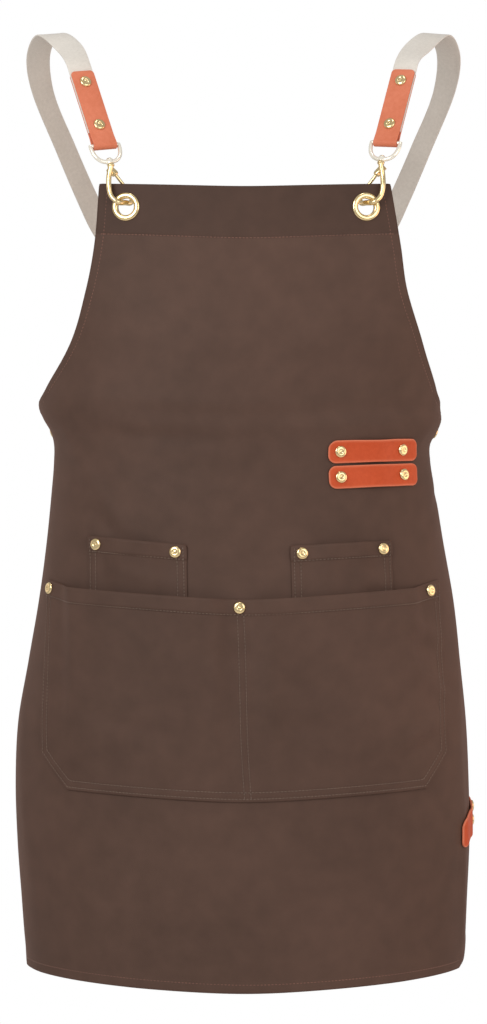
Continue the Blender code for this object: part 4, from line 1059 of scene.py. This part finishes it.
def makeWebbing(side):
    sign = sides[side]
    top, bar, along, face, edgeWay = harnessAxes(side)
    straight = (harness["webInTab"], harness["webInTab"] / 2, 0.0, -harness["straightOn"])
    middles = [top + along * reach for reach in straight]
    edges = [edgeWay] * len(straight)
    span, depth, drop = (strapShape[key] for key in ("halfSpan", "backDepth", "drop"))
    for number, (out, back, up, edgeOut, edgeBack, edgeUp) in enumerate(strapRowTable):
        reach = 1.0
        if number in crossingRows:
            reach += sign * (harness["web"] + strapShape["crossingGap"]) / 2 / depth
        middles.append(np.array((out * sign * span, back * depth * reach, up * drop)))
        edges.append(np.array([edgeOut * sign, edgeBack, edgeUp]))
    for degrees in strapEnd["turns"]:
        middle, out, lower = wingInside(-sign, degrees)
        middles.append(middle - out * harness["web"] / 2)
        edges.append(lower)
    middles, edges = np.array(middles), unit(np.array(edges))
    places = np.concatenate([[0.0], np.cumsum(np.linalg.norm(np.diff(middles, axis=0), axis=1))])
    at = np.linspace(0.0, places[-1], int(places[-1] / strapShape["step"]))
    path = smoothCurve(places, middles, at)
    length = float(np.linalg.norm(np.diff(path, axis=0), axis=1).sum())
    print("webbing", side, "is", round(length, 3), "m long")
    way = unit(np.gradient(path, axis=0))
    edge = crossways(way, smoothCurve(places, edges, at))
    face = np.cross(way, edge)
    outline = roundedSection(harness["webWidth"], harness["web"], harness["webRound"], 2)
    rings = [[p + e * a + f * b for a, b in outline] for p, e, f in zip(path, edge, face)]
    uvs = [(a + (harness["weaveShift"] if b < 0 else 0.0), s) for s in at for a, b in outline]
    return loft("webbing" + side.capitalize(), rings, webbingMaterial, uv=uvs)


for side in sides:
    finishPiece(makeTab(side), "apron", "leather", "tab_" + side)
    finishPiece(makeWebbing(side), "apron", "webbing", "strap_" + side)
print("leather and webbing made")

# Metal: rings, hooks, gates and grommets

metal = {
    "bossRadius": 0.0038, "bossHalf": 0.0025, "postRadius": 0.0018, "headRadius": 0.0030, "head": 0.0015,
    "collarRadius": 0.0036, "collar": 0.0026, "hookWire": 0.0027, "reach": 0.046, "cheek": 0.0013,
    "cheekWidth": 0.0046, "gateRadius": 0.0017, "eyeRadius": 0.0025, "eyeWidth": 0.0034,
    "sideGap": 0.0003, "pinRadius": 0.0009, "pinClearance": 0.0003, "tipGap": 0.0026,
    "pivot": (-0.270, -0.060, 0.740), "pinOut": 0.0002, "bossRound": 0.0005, "collarRound": 0.0008,
    "cheekRound": 0.0003, "pinRound": 0.0003, "eyeRound": 0.0004,
}
hookRows = (
    # toward the middle of the apron, out of the cloth, and up, in shares of the reach
    (-0.348, 0.113, 0.696),
    (-0.343, 0.154, 0.440),
    (-0.283, 0.157, 0.215),
    (-0.150, 0.145, 0.092),
    (-0.020, -0.032, 0.092),
    (0.065, -0.200, 0.115),
    (0.070, -0.265, 0.270),
)
grommet = {"hole": 0.0085, "outer": 0.0143, "barrel": 0.0010, "flange": 0.0014, "gap": 0.0006}


def roundOff(radius, half, soft, steps=3):
    # The profile of a short turned body with softened edges, from one flat end to the other.
    turns = np.linspace(0, math.pi / 2, steps + 1)
    corner = [(radius - soft + soft * math.sin(a), soft - soft * math.cos(a)) for a in turns]
    return [(r, -half + h) for r, h in corner] + [(r, half - h) for r, h in reversed(corner)]


def ringFoot(side):
    top, bar, along, face, edgeWay = harnessAxes(side)
    return bar + along * harness["ringHeight"], along


def makeDRing(side):
    top, bar, along, face, edgeWay = harnessAxes(side)
    turns, square = np.linspace(0.0, math.pi, 57), harness["squareness"]
    across = harness["ringHalf"] * np.sign(np.cos(turns)) * np.abs(np.cos(turns)) ** square
    bow = list(zip(across, harness["ringHeight"] * np.abs(np.sin(turns)) ** square))
    straight = [(harness["ringHalf"] * share, 0.0) for share in np.linspace(-0.93, 0.93, 15)]
    path = [bar + edgeWay * a + along * b for a, b in bow + straight]
    wire = loft("wire", wireRings(path, harness["wire"], 14, face, closed=True), ringMaterial, closed=True)
    foot, axis = ringFoot(side)
    inner, half = metal["postRadius"] + seatGap, metal["bossHalf"]
    profile = [(inner, half), (inner, -half)] + roundOff(metal["bossRadius"], half, metal["bossRound"])
    boss = turned("boss", profile, foot, axis, 28, ringMaterial, closed=True)
    return gather("dRing" + side.capitalize(), [wire, boss])


def fromGrommet(side, shares):
    middle, inward, out, up = grommetAxes(sides[side])
    a, b, c = (share * metal["reach"] for share in shares)
    return middle + inward * a + out * b + up * c


def hookPath(side, count):
    foot, axis = ringFoot(side)
    start = foot + axis * (metal["bossHalf"] + seatGap + metal["collar"] * 0.6)
    rows = np.array([start] + [fromGrommet(side, row) for row in hookRows])
    places = np.concatenate([[0.0], np.cumsum(np.linalg.norm(np.diff(rows, axis=0), axis=1))])
    return smoothCurve(places, rows, np.linspace(0.0, places[-1], count))


def gateLine(side):
    pivot = fromGrommet(side, metal["pivot"])
    path = hookPath(side, 15)
    tip = path[-1]
    along = unit(tip - pivot)
    arm = path[np.argmin(np.abs(path[:8, 2] - tip[2]))]
    return pivot, tip - along * metal["tipGap"], along, unit(np.cross(along, arm - tip))


def makeHook(side):
    path = hookPath(side, 64)
    pivot, gateEnd, gateAlong, axis = gateLine(side)
    thick = np.full(len(path), metal["hookWire"])
    nose = np.linspace(1.0, 0.0, 7) ** 2
    thick[-7:] = metal["hookWire"] * np.sqrt(1 - (1 - nose) ** 2 * 0.75)
    parts = [loft("arm", wireRings(path, thick, 16, axis), brassMaterial)]
    foot, down = ringFoot(side)
    collarTop = foot + down * (metal["bossHalf"] + seatGap)
    headFoot = foot - down * (metal["bossHalf"] + seatGap)
    half = metal["collar"] / 2
    collar = roundOff(metal["collarRadius"], half, metal["collarRound"])
    parts.append(turned("collar", collar, collarTop + down * half, down, 28, brassMaterial))
    postHalf = metal["bossHalf"] + 2 * seatGap
    post = ((metal["postRadius"], -postHalf), (metal["postRadius"], postHalf))
    parts.append(turned("post", post, foot, down, 20, brassMaterial))
    dome = [(metal["headRadius"] * math.cos(a), metal["head"] * math.sin(a)) for a in np.linspace(0, 1.35, 8)]
    parts.append(turned("head", dome, headFoot, -down, 24, brassMaterial))
    root = collarTop + down * metal["collar"]
    root = root - axis * np.dot(root - pivot, axis)
    reach = unit(pivot - root)
    wideWay = np.cross(reach, axis)
    offset = metal["eyeWidth"] / 2 + metal["sideGap"]
    halfWide = metal["cheekWidth"] / 2
    bend = np.linspace(-math.pi / 2, math.pi / 2, 13)
    for hand in (-1, 1):
        outline = [root + wideWay * halfWide, root - wideWay * halfWide]
        outline += [pivot + halfWide * (reach * math.cos(a) + wideWay * math.sin(a)) for a in bend]
        near, far = offset, offset + metal["cheek"]
        soft = metal["cheekRound"]
        centre = np.mean(outline, axis=0)
        rings = []
        for depth, draw in ((near, soft), (near + soft, 0.0), (far - soft, 0.0), (far, soft)):
            rings.append([p + unit(centre - p) * draw + axis * hand * depth for p in outline])
        parts.append(loft("cheek", rings, brassMaterial))
    pin = roundOff(metal["pinRadius"], offset + metal["cheek"] + metal["pinOut"], metal["pinRound"])
    parts.append(turned("pin", pin, pivot, axis, 18, brassMaterial))
    return gather("snapHook" + side.capitalize(), parts)


def makeGate(side):
    pivot, end, along, axis = gateLine(side)
    start = pivot + along * (metal["pinRadius"] + metal["pinClearance"] + metal["eyeRadius"]) / 2
    share = np.linspace(0, 1, 25)
    path = start + (end - start) * share[:, None]
    nearTip = np.clip((share - 0.9) / 0.1, 0, None)
    thick = metal["gateRadius"] * np.sqrt(np.clip(1 - nearTip**2 * 0.8, 0.05, 1))
    lever = loft("lever", wireRings(path, thick, 14, axis), brassMaterial)
    inner = metal["pinRadius"] + metal["pinClearance"]
    half = metal["eyeWidth"] / 2
    profile = [(inner, half), (inner, -half)] + roundOff(metal["eyeRadius"], half, metal["eyeRound"])
    eye = turned("eye", profile, pivot, axis, 24, brassMaterial, closed=True)
    return gather("snapGate" + side.capitalize(), [lever, eye])


def makeGrommet(side):
    middle, inward, out, up = grommetAxes(sides[side])
    front, back = grommet["gap"], -apron["hemCloth"] - grommet["gap"]
    inner, outer, flange = grommet["hole"], grommet["outer"], grommet["flange"]
    barrel = inner + grommet["barrel"]
    crest = (inner + outer) / 2
    halfWide = (outer - inner) / 2
    rolled = [
        (crest - halfWide * math.cos(a), front + 0.0002 + flange * 1.25 * math.sin(a))
        for a in np.linspace(0.0, math.pi, 15)
    ]
    washer = [(outer, back), (outer - 0.0006, back - 0.0009)]
    washer += [(inner + 0.0012, back - 0.0011), (inner, back - 0.0003)]
    profile = rolled + [(outer - 0.0005, front), (barrel, front), (barrel, back)] + washer
    name = "grommet" + side.capitalize()
    return turned(name, profile, middle, out, 56, brassMaterial, closed=True, sharpAngle=60)


for side in sides:
    finishPiece(makeDRing(side), "apron", "pale_metal", "ring_" + side)
    finishPiece(makeHook(side), "apron", "brass", "hook_" + side)
    finishPiece(makeGate(side), "gate_" + side, "brass", "gate_" + side)
    finishPiece(makeGrommet(side), "apron", "brass", "grommet_" + side)
print("metal made")

# Rivets, one for each place in the list: its name in the CAD, the middle of its cap's seat, the way
# out, and the thickness that it holds.

rivet = {
    "cap": 0.0061, "capHeight": 0.0021, "shank": 0.0016, "shankIn": 0.0022, "burr": 0.0044,
    "burrHeight": 0.0012, "dimple": 0.0022, "dimpleDepth": 0.0007, "shoulder": 0.0008, "edge": 0.0003,
    "draw": 0.0002, "seatWidth": 0.002,
}


def rivetPlaces():
    places = []

    def onCloth(name, across, down, layers):
        turn = turnAt(np.array(across), np.array(down))
        middle, out, lower = flatPlace(turn, down, rivet["seatWidth"])
        stack = float(sum(layers)) + float(foldHeight(np.array(across), np.array(down)))
        grip = sum(layers) + apron["cloth"] + 2 * seatGap
        places.append((name, middle + out * (stack + seatGap), out, grip))

    hemmed = (pocket["gap"], apron["hemCloth"])
    leftOffset, rightOffset = pocket["rivetLeft"] - pocket["half"], pocket["half"] - pocket["rivetRight"]
    for place, offset in (("left", leftOffset), ("middle", 0.0), ("right", rightOffset)):
        down = pocket["top"] + pocket["rivetDown"] - float(mouthRise(abs(offset)))
        onCloth("rivet_pocket_" + place, pocket["leanTop"] + offset, down, hemmed)
    smallSide = smallPocket["width"] / 2 - smallPocket["rivetIn"]
    for side, middle in smallPocket["middles"].items():
        for place, offset in (("left", -smallSide), ("right", smallSide)):
            down = smallPocket["tops"][side] + pocket["rivetDown"]
            down += smallPocket["lean"] * offset / smallPocket["width"]
            onCloth(f"rivet_small_{side.lower()}_{place}", middle + offset, down, hemmed)
    strapped = (toolStrap["seat"], toolStrap["leather"])
    insets = (("left", toolStrap["rivetLeft"]), ("right", toolStrap["length"] - toolStrap["rivetRight"]))
    for level, middle in toolStrap["downs"].items():
        for place, along in insets:
            down = middle - toolStrap["rise"] * along / toolStrap["length"]
            onCloth(f"rivet_tool_{level.lower()}_{place}", toolStrap["start"] + along, down, strapped)
    across = sideStrap["start"] + sideStrap["length"] - sideStrap["rivetIn"]
    share = 1 - sideStrap["rivetIn"] / sideStrap["length"]
    for place, hand in (("upper", -1), ("lower", 1)):
        down = sideStrap["down"] - sideStrap["rise"] * share + hand * sideStrap["width"] / 4
        onCloth("rivet_side_" + place, across, down, strapped)
    for side in sides:
        top, bar, along, face, edgeWay = harnessAxes(side)
        grip = harness["web"] + 2 * seatGap + 2 * toolStrap["leather"]
        for place, reach in zip(("upper", "lower"), harness["rivetsFromTop"]):
            middle = top + along * reach + face * (grip / 2 + seatGap)
            places.append((f"rivet_tab_{side}_{place}", middle, face, grip + 2 * seatGap))
        inside, out, lower = wingInside(-sides[side], strapEnd["rivetTurn"])
        turn = np.array(-sides[side] * math.radians(strapEnd["rivetTurn"]))
        middle = atTurn(turn, np.array(strapEnd["down"])) + out * (strapEnd["capGap"] + seatGap)
        grip = float(np.dot(middle - inside, out)) + harness["web"] + seatGap
        places.append(("rivet_strap_" + side, middle, out, grip))
    return places


def makeRivetParts():
    cap, height, edge = rivet["cap"], rivet["capHeight"], rivet["edge"]
    dimple, deep = rivet["dimple"], rivet["dimpleDepth"]
    dome = [(cap - rivet["draw"], 0.0), (cap, edge)]
    for a in np.linspace(0.25, 1.0, 8):
        r = cap + (dimple + rivet["shoulder"] - cap) * (1 - math.cos(a * math.pi / 2))
        dome.append((r, edge + (height - edge) * math.sin(a * math.pi / 2)))
    hollow = [(dimple, height - rivet["draw"]), (dimple * 0.72, height - deep)]
    hollow += [(dimple * 0.4, height - deep * 0.85), (0.0003, height - deep * 0.5)]
    capPiece = turned("capShape", dome + hollow, (0, 0, 0), (0, 0, 1), 28, brassMaterial, sharpAngle=45)
    shank, burr, thick = rivet["shank"], rivet["burr"], rivet["burrHeight"]
    profile = [(shank, rivet["shankIn"]), (shank, 0.0), (burr, 0.0)]
    profile += [(burr, -thick * 0.6), (burr * 0.8, -thick), (0.0004, -thick)]
    burrPiece = turned("burrShape", profile, (0, 0, 0), (0, 0, 1), 20, brassMaterial)
    return capPiece, burrPiece


def placesObject(name, points, ways, edges=()):
    # Bare points, joined by edges where they are lines, each with its way out of the cloth.
    mesh = bpy.data.meshes.new(name)
    mesh.from_pydata([tuple(map(float, p)) for p in points], list(edges), [])
    layer = mesh.attributes.new("wayOut", "FLOAT_VECTOR", "POINT")
    layer.data.foreach_set("vector", np.asarray(ways, float).ravel())
    return addObject(name, mesh)


def setInput(modifier, label, value):
    for item in modifier.node_group.interface.items_tree:
        if item.item_type == "SOCKET" and item.in_out == "INPUT" and item.name == label:
            modifier[item.identifier] = value


def applyNodes(source, name, tree, values, material):
    step = source.modifiers.new("nodes", "NODES")
    step.node_group = tree
    for label, value in values.items():
        setInput(step, label, value)
    bpy.context.view_layer.update()
    mesh = bpy.data.meshes.new_from_object(source.evaluated_get(bpy.context.evaluated_depsgraph_get()))
    bpy.data.objects.remove(source)
    mesh.name = name
    if not mesh.materials:
        mesh.materials.append(material)
    return addObject(name, mesh)


def newTree(name, inputs):
    tree = bpy.data.node_groups.new(name, "GeometryNodeTree")
    tree.interface.new_socket("Geometry", in_out="INPUT", socket_type="NodeSocketGeometry")
    for label, kind, value in inputs:
        socket = tree.interface.new_socket(label, in_out="INPUT", socket_type=kind)
        if value is not None:
            socket.default_value = value
    tree.interface.new_socket("Geometry", in_out="OUTPUT", socket_type="NodeSocketGeometry")
    nodes = tree.nodes
    return tree, nodes, tree.links, nodes.new("NodeGroupInput"), nodes.new("NodeGroupOutput")


def turnToWayOut(nodes, links):
    way = nodes.new("GeometryNodeInputNamedAttribute")
    way.data_type = "FLOAT_VECTOR"
    way.inputs["Name"].default_value = "wayOut"
    turn = nodes.new("FunctionNodeAlignEulerToVector")
    turn.axis = "Z"
    links.new(way.outputs["Attribute"], turn.inputs["Vector"])
    return turn.outputs["Rotation"]


def makeRivetTree():
    # Sets a turned shape on each point, turned to face the way out.
    tree, nodes, links, entry, leave = newTree(
        "setRivets", (("Shape", "NodeSocketObject", None), ("Material", "NodeSocketMaterial", None))
    )
    shape = nodes.new("GeometryNodeObjectInfo")
    links.new(entry.outputs["Shape"], shape.inputs["Object"])
    put = nodes.new("GeometryNodeInstanceOnPoints")
    links.new(entry.outputs["Geometry"], put.inputs["Points"])
    links.new(shape.outputs["Geometry"], put.inputs["Instance"])
    links.new(turnToWayOut(nodes, links), put.inputs["Rotation"])
    real = nodes.new("GeometryNodeRealizeInstances")
    links.new(put.outputs["Instances"], real.inputs["Geometry"])
    paint = nodes.new("GeometryNodeSetMaterial")
    links.new(real.outputs["Geometry"], paint.inputs["Geometry"])
    links.new(entry.outputs["Material"], paint.inputs["Material"])
    links.new(paint.outputs["Geometry"], leave.inputs["Geometry"])
    return tree


places = rivetPlaces()
capShape, burrShape = makeRivetParts()
rivetTree = makeRivetTree()
fronts = [place for name, place, way, grip in places]
backs = [place - way * grip for name, place, way, grip in places]
ways = [way for name, place, way, grip in places]
parts = []
for name, shape, spots in (("rivetCaps", capShape, fronts), ("rivetBurrs", burrShape, backs)):
    inputs = {"Shape": shape, "Material": brassMaterial}
    spotsObject = placesObject(name + "Places", spots, ways)
    parts.append(applyNodes(spotsObject, name, rivetTree, inputs, brassMaterial))
for shape in (capShape, burrShape):
    bpy.data.objects.remove(shape)
rivets = gather("rivets", parts)
finishPiece(rivets, "apron", "brass", *[name for name, place, way, grip in places])
print("rivets made:", len(places))

# Stitches

stitch = {
    "pitch": 0.0036, "length": 0.0027, "width": 0.0008, "height": 0.0005, "seed": 4, "sway": 0.09,
    "hemIn": 0.006, "bottomIn": 0.012, "sideDown": 0.004, "pocketIn": 0.003, "seamDown": 0.016,
    "seamUp": 0.004, "step": 0.005,
}


def makeStitchTree():
    # Lays a short thread at each step along the lines, a little uneven.
    tree, nodes, links, entry, leave = newTree(
        "layStitches",
        (
            ("Pitch", "NodeSocketFloat", stitch["pitch"]), ("Length", "NodeSocketFloat", stitch["length"]),
            ("Width", "NodeSocketFloat", stitch["width"]), ("Height", "NodeSocketFloat", stitch["height"]),
            ("Sway", "NodeSocketFloat", stitch["sway"]), ("Seed", "NodeSocketInt", stitch["seed"]),
            ("Material", "NodeSocketMaterial", None),
        ),
    )
    curve = nodes.new("GeometryNodeMeshToCurve")
    links.new(entry.outputs["Geometry"], curve.inputs["Mesh"])
    even = nodes.new("GeometryNodeResampleCurve")
    even.mode = "LENGTH"
    links.new(curve.outputs["Curve"], even.inputs["Curve"])
    links.new(entry.outputs["Pitch"], even.inputs["Length"])
    tangent = nodes.new("GeometryNodeInputTangent")
    ahead = nodes.new("FunctionNodeAlignEulerToVector")
    ahead.axis = "X"
    ahead.pivot_axis = "Z"
    links.new(turnToWayOut(nodes, links), ahead.inputs["Rotation"])
    links.new(tangent.outputs["Tangent"], ahead.inputs["Vector"])
    chance = nodes.new("FunctionNodeRandomValue")
    chance.data_type = "FLOAT"
    low = nodes.new("ShaderNodeMath")
    low.operation = "MULTIPLY"
    low.inputs[1].default_value = -1.0
    links.new(entry.outputs["Sway"], low.inputs[0])
    links.new(low.outputs[0], chance.inputs[2])
    links.new(entry.outputs["Sway"], chance.inputs[3])
    links.new(entry.outputs["Seed"], chance.inputs["Seed"])
    swing = nodes.new("ShaderNodeCombineXYZ")
    links.new(chance.outputs[1], swing.inputs["Z"])
    turn = nodes.new("FunctionNodeRotateEuler")
    turn.rotation_type = "EULER"
    turn.space = "LOCAL"
    links.new(ahead.outputs["Rotation"], turn.inputs["Rotation"])
    links.new(swing.outputs["Vector"], turn.inputs["Rotate By"])
    ball = nodes.new("GeometryNodeMeshUVSphere")
    ball.inputs["Segments"].default_value = 6
    ball.inputs["Rings"].default_value = 4
    ball.inputs["Radius"].default_value = 0.5
    size = nodes.new("ShaderNodeCombineXYZ")
    for label, axis in (("Length", "X"), ("Width", "Y"), ("Height", "Z")):
        links.new(entry.outputs[label], size.inputs[axis])
    put = nodes.new("GeometryNodeInstanceOnPoints")
    links.new(even.outputs["Curve"], put.inputs["Points"])
    links.new(ball.outputs["Mesh"], put.inputs["Instance"])
    links.new(turn.outputs["Rotation"], put.inputs["Rotation"])
    links.new(size.outputs["Vector"], put.inputs["Scale"])
    real = nodes.new("GeometryNodeRealizeInstances")
    links.new(put.outputs["Instances"], real.inputs["Geometry"])
    smooth = nodes.new("GeometryNodeSetShadeSmooth")
    links.new(real.outputs["Geometry"], smooth.inputs["Geometry"])
    paint = nodes.new("GeometryNodeSetMaterial")
    links.new(smooth.outputs["Geometry"], paint.inputs["Geometry"])
    links.new(entry.outputs["Material"], paint.inputs["Material"])
    links.new(paint.outputs["Geometry"], leave.inputs["Geometry"])
    return tree


def linesObject(name, lines):
    points, ways, edges = [], [], []
    for line, way in lines:
        first = len(points)
        points += list(line)
        ways += list(way)
        edges += [(first + k, first + k + 1) for k in range(len(line) - 1)]
    return placesObject(name, points, ways, edges)


def clothLine(across, down, out):
    across, down, out = np.broadcast_arrays(np.asarray(across, float), np.asarray(down, float), out)
    return onPanel(across, down, out), facing(across, down)


def pocketOut(shape, columns, down):
    # How far off the panel a pocket's outer face lies.
    share = (down - shape["top"]) / shape["height"]
    band = np.clip((shape["top"] + pocket["hem"] - down) / apron["hemStep"], 0, 1)
    off = pocket["gap"] + shape["bulge"] * pocketRises(shape, np.abs(columns)) * (1 - share) ** shape["fall"]
    return off + apron["cloth"] + (apron["hemCloth"] - apron["cloth"]) * band


def insetLine(line, inset):
    # A line moved sideways on the flat cloth, toward its left as it runs.
    way = unit(np.gradient(line, axis=0))
    return line + np.stack([-way[:, 1], way[:, 0]], -1) * inset


def apronStitches():
    lines = []
    rest = 0.0001
    bottom = body["length"] - apron["stitchIn"]

    def acrossLine(down, inset, count):
        left, right = (float(edgeLine(side, np.array([down]))[0]) for side in (-1, 1))
        lines.append(clothLine(np.linspace(left + inset, right - inset, count), down, rest))

    acrossLine(apron["hem"] - apron["hemStitch"], stitch["hemIn"], 90)
    for side in (-1, 1):
        line = insetLine(sideLines[side], side * apron["stitchIn"])
        line = line[(line[:, 1] > stitch["sideDown"]) & (line[:, 1] < bottom)]
        lines.append(clothLine(line[:, 0], line[:, 1], rest))
    acrossLine(bottom, stitch["bottomIn"], 170)
    return lines


def pocketStitches(shape):
    lines = []
    half, top, height, cutCorner = (shape[key] for key in ("half", "top", "height", "cut"))
    upper, lower = shape["middles"]
    rest = 0.00005

    def lineAt(offsets, downs):
        offsets, downs = np.broadcast_arrays(np.asarray(offsets, float), np.asarray(downs, float))
        share = (downs - top) / height
        drawn = np.clip(downs - (top + height - cutCorner), 0.0, None)
        columns = offsets * half / (half - drawn)
        across = upper + (lower - upper) * share + offsets
        out = pocketOut(shape, columns, downs) + rest
        lines.append(clothLine(across, downs - mouthLift(shape, columns, share), out))

    inward = stitch["pocketIn"]
    hemDown = top + pocket["hem"] - apron["hemStitch"]
    lineAt(np.linspace(-half + inward, half - inward, 120), hemDown)
    for inset in (pocket["stitch"], pocket["stitch"] + pocket["stitchPair"]):
        edgeAt = half - inset
        bottom = top + height - inset
        cutAt = cutCorner - inset * (2 - math.sqrt(2)) if cutCorner else 0.0
        offsets = [-edgeAt, -edgeAt, -edgeAt + cutAt, edgeAt - cutAt, edgeAt, edgeAt]
        downs = [top + inward, bottom - cutAt, bottom, bottom, bottom - cutAt, top + inward]
        evenOffsets, evenDowns = [], []
        for k in range(5):
            length = math.hypot(offsets[k + 1] - offsets[k], downs[k + 1] - downs[k])
            if length < 1e-5:
                continue
            share = np.linspace(0, 1, max(2, int(length / stitch["step"])))[:-1]
            evenOffsets += list(offsets[k] + (offsets[k + 1] - offsets[k]) * share)
            evenDowns += list(downs[k] + (downs[k + 1] - downs[k]) * share)
        lineAt(evenOffsets + [offsets[-1]], evenDowns + [downs[-1]])
    if shape["seams"]:
        seamDowns = np.linspace(top + stitch["seamDown"], top + height - stitch["seamUp"], 60)
        for hand in (-1, 1):
            lineAt(hand * pocket["stitchPair"] / 2, seamDowns)
    return lines


stitchTree = makeStitchTree()
stitchSets = {"apronStitches": apronStitches(), "frontPocketStitches": pocketStitches(frontShape)}
for side, shape in smallShapes.items():
    stitchSets["smallPocketStitches" + side] = pocketStitches(shape)
for name, lines in stitchSets.items():
    material = threads["rust" if name == "apronStitches" else "brown"]
    made = applyNodes(linesObject(name + "Lines", lines), name, stitchTree, {"Material": material}, material)
    finishPiece(made, "apron", "cloth")
    print(name, len(made.data.polygons), "faces")
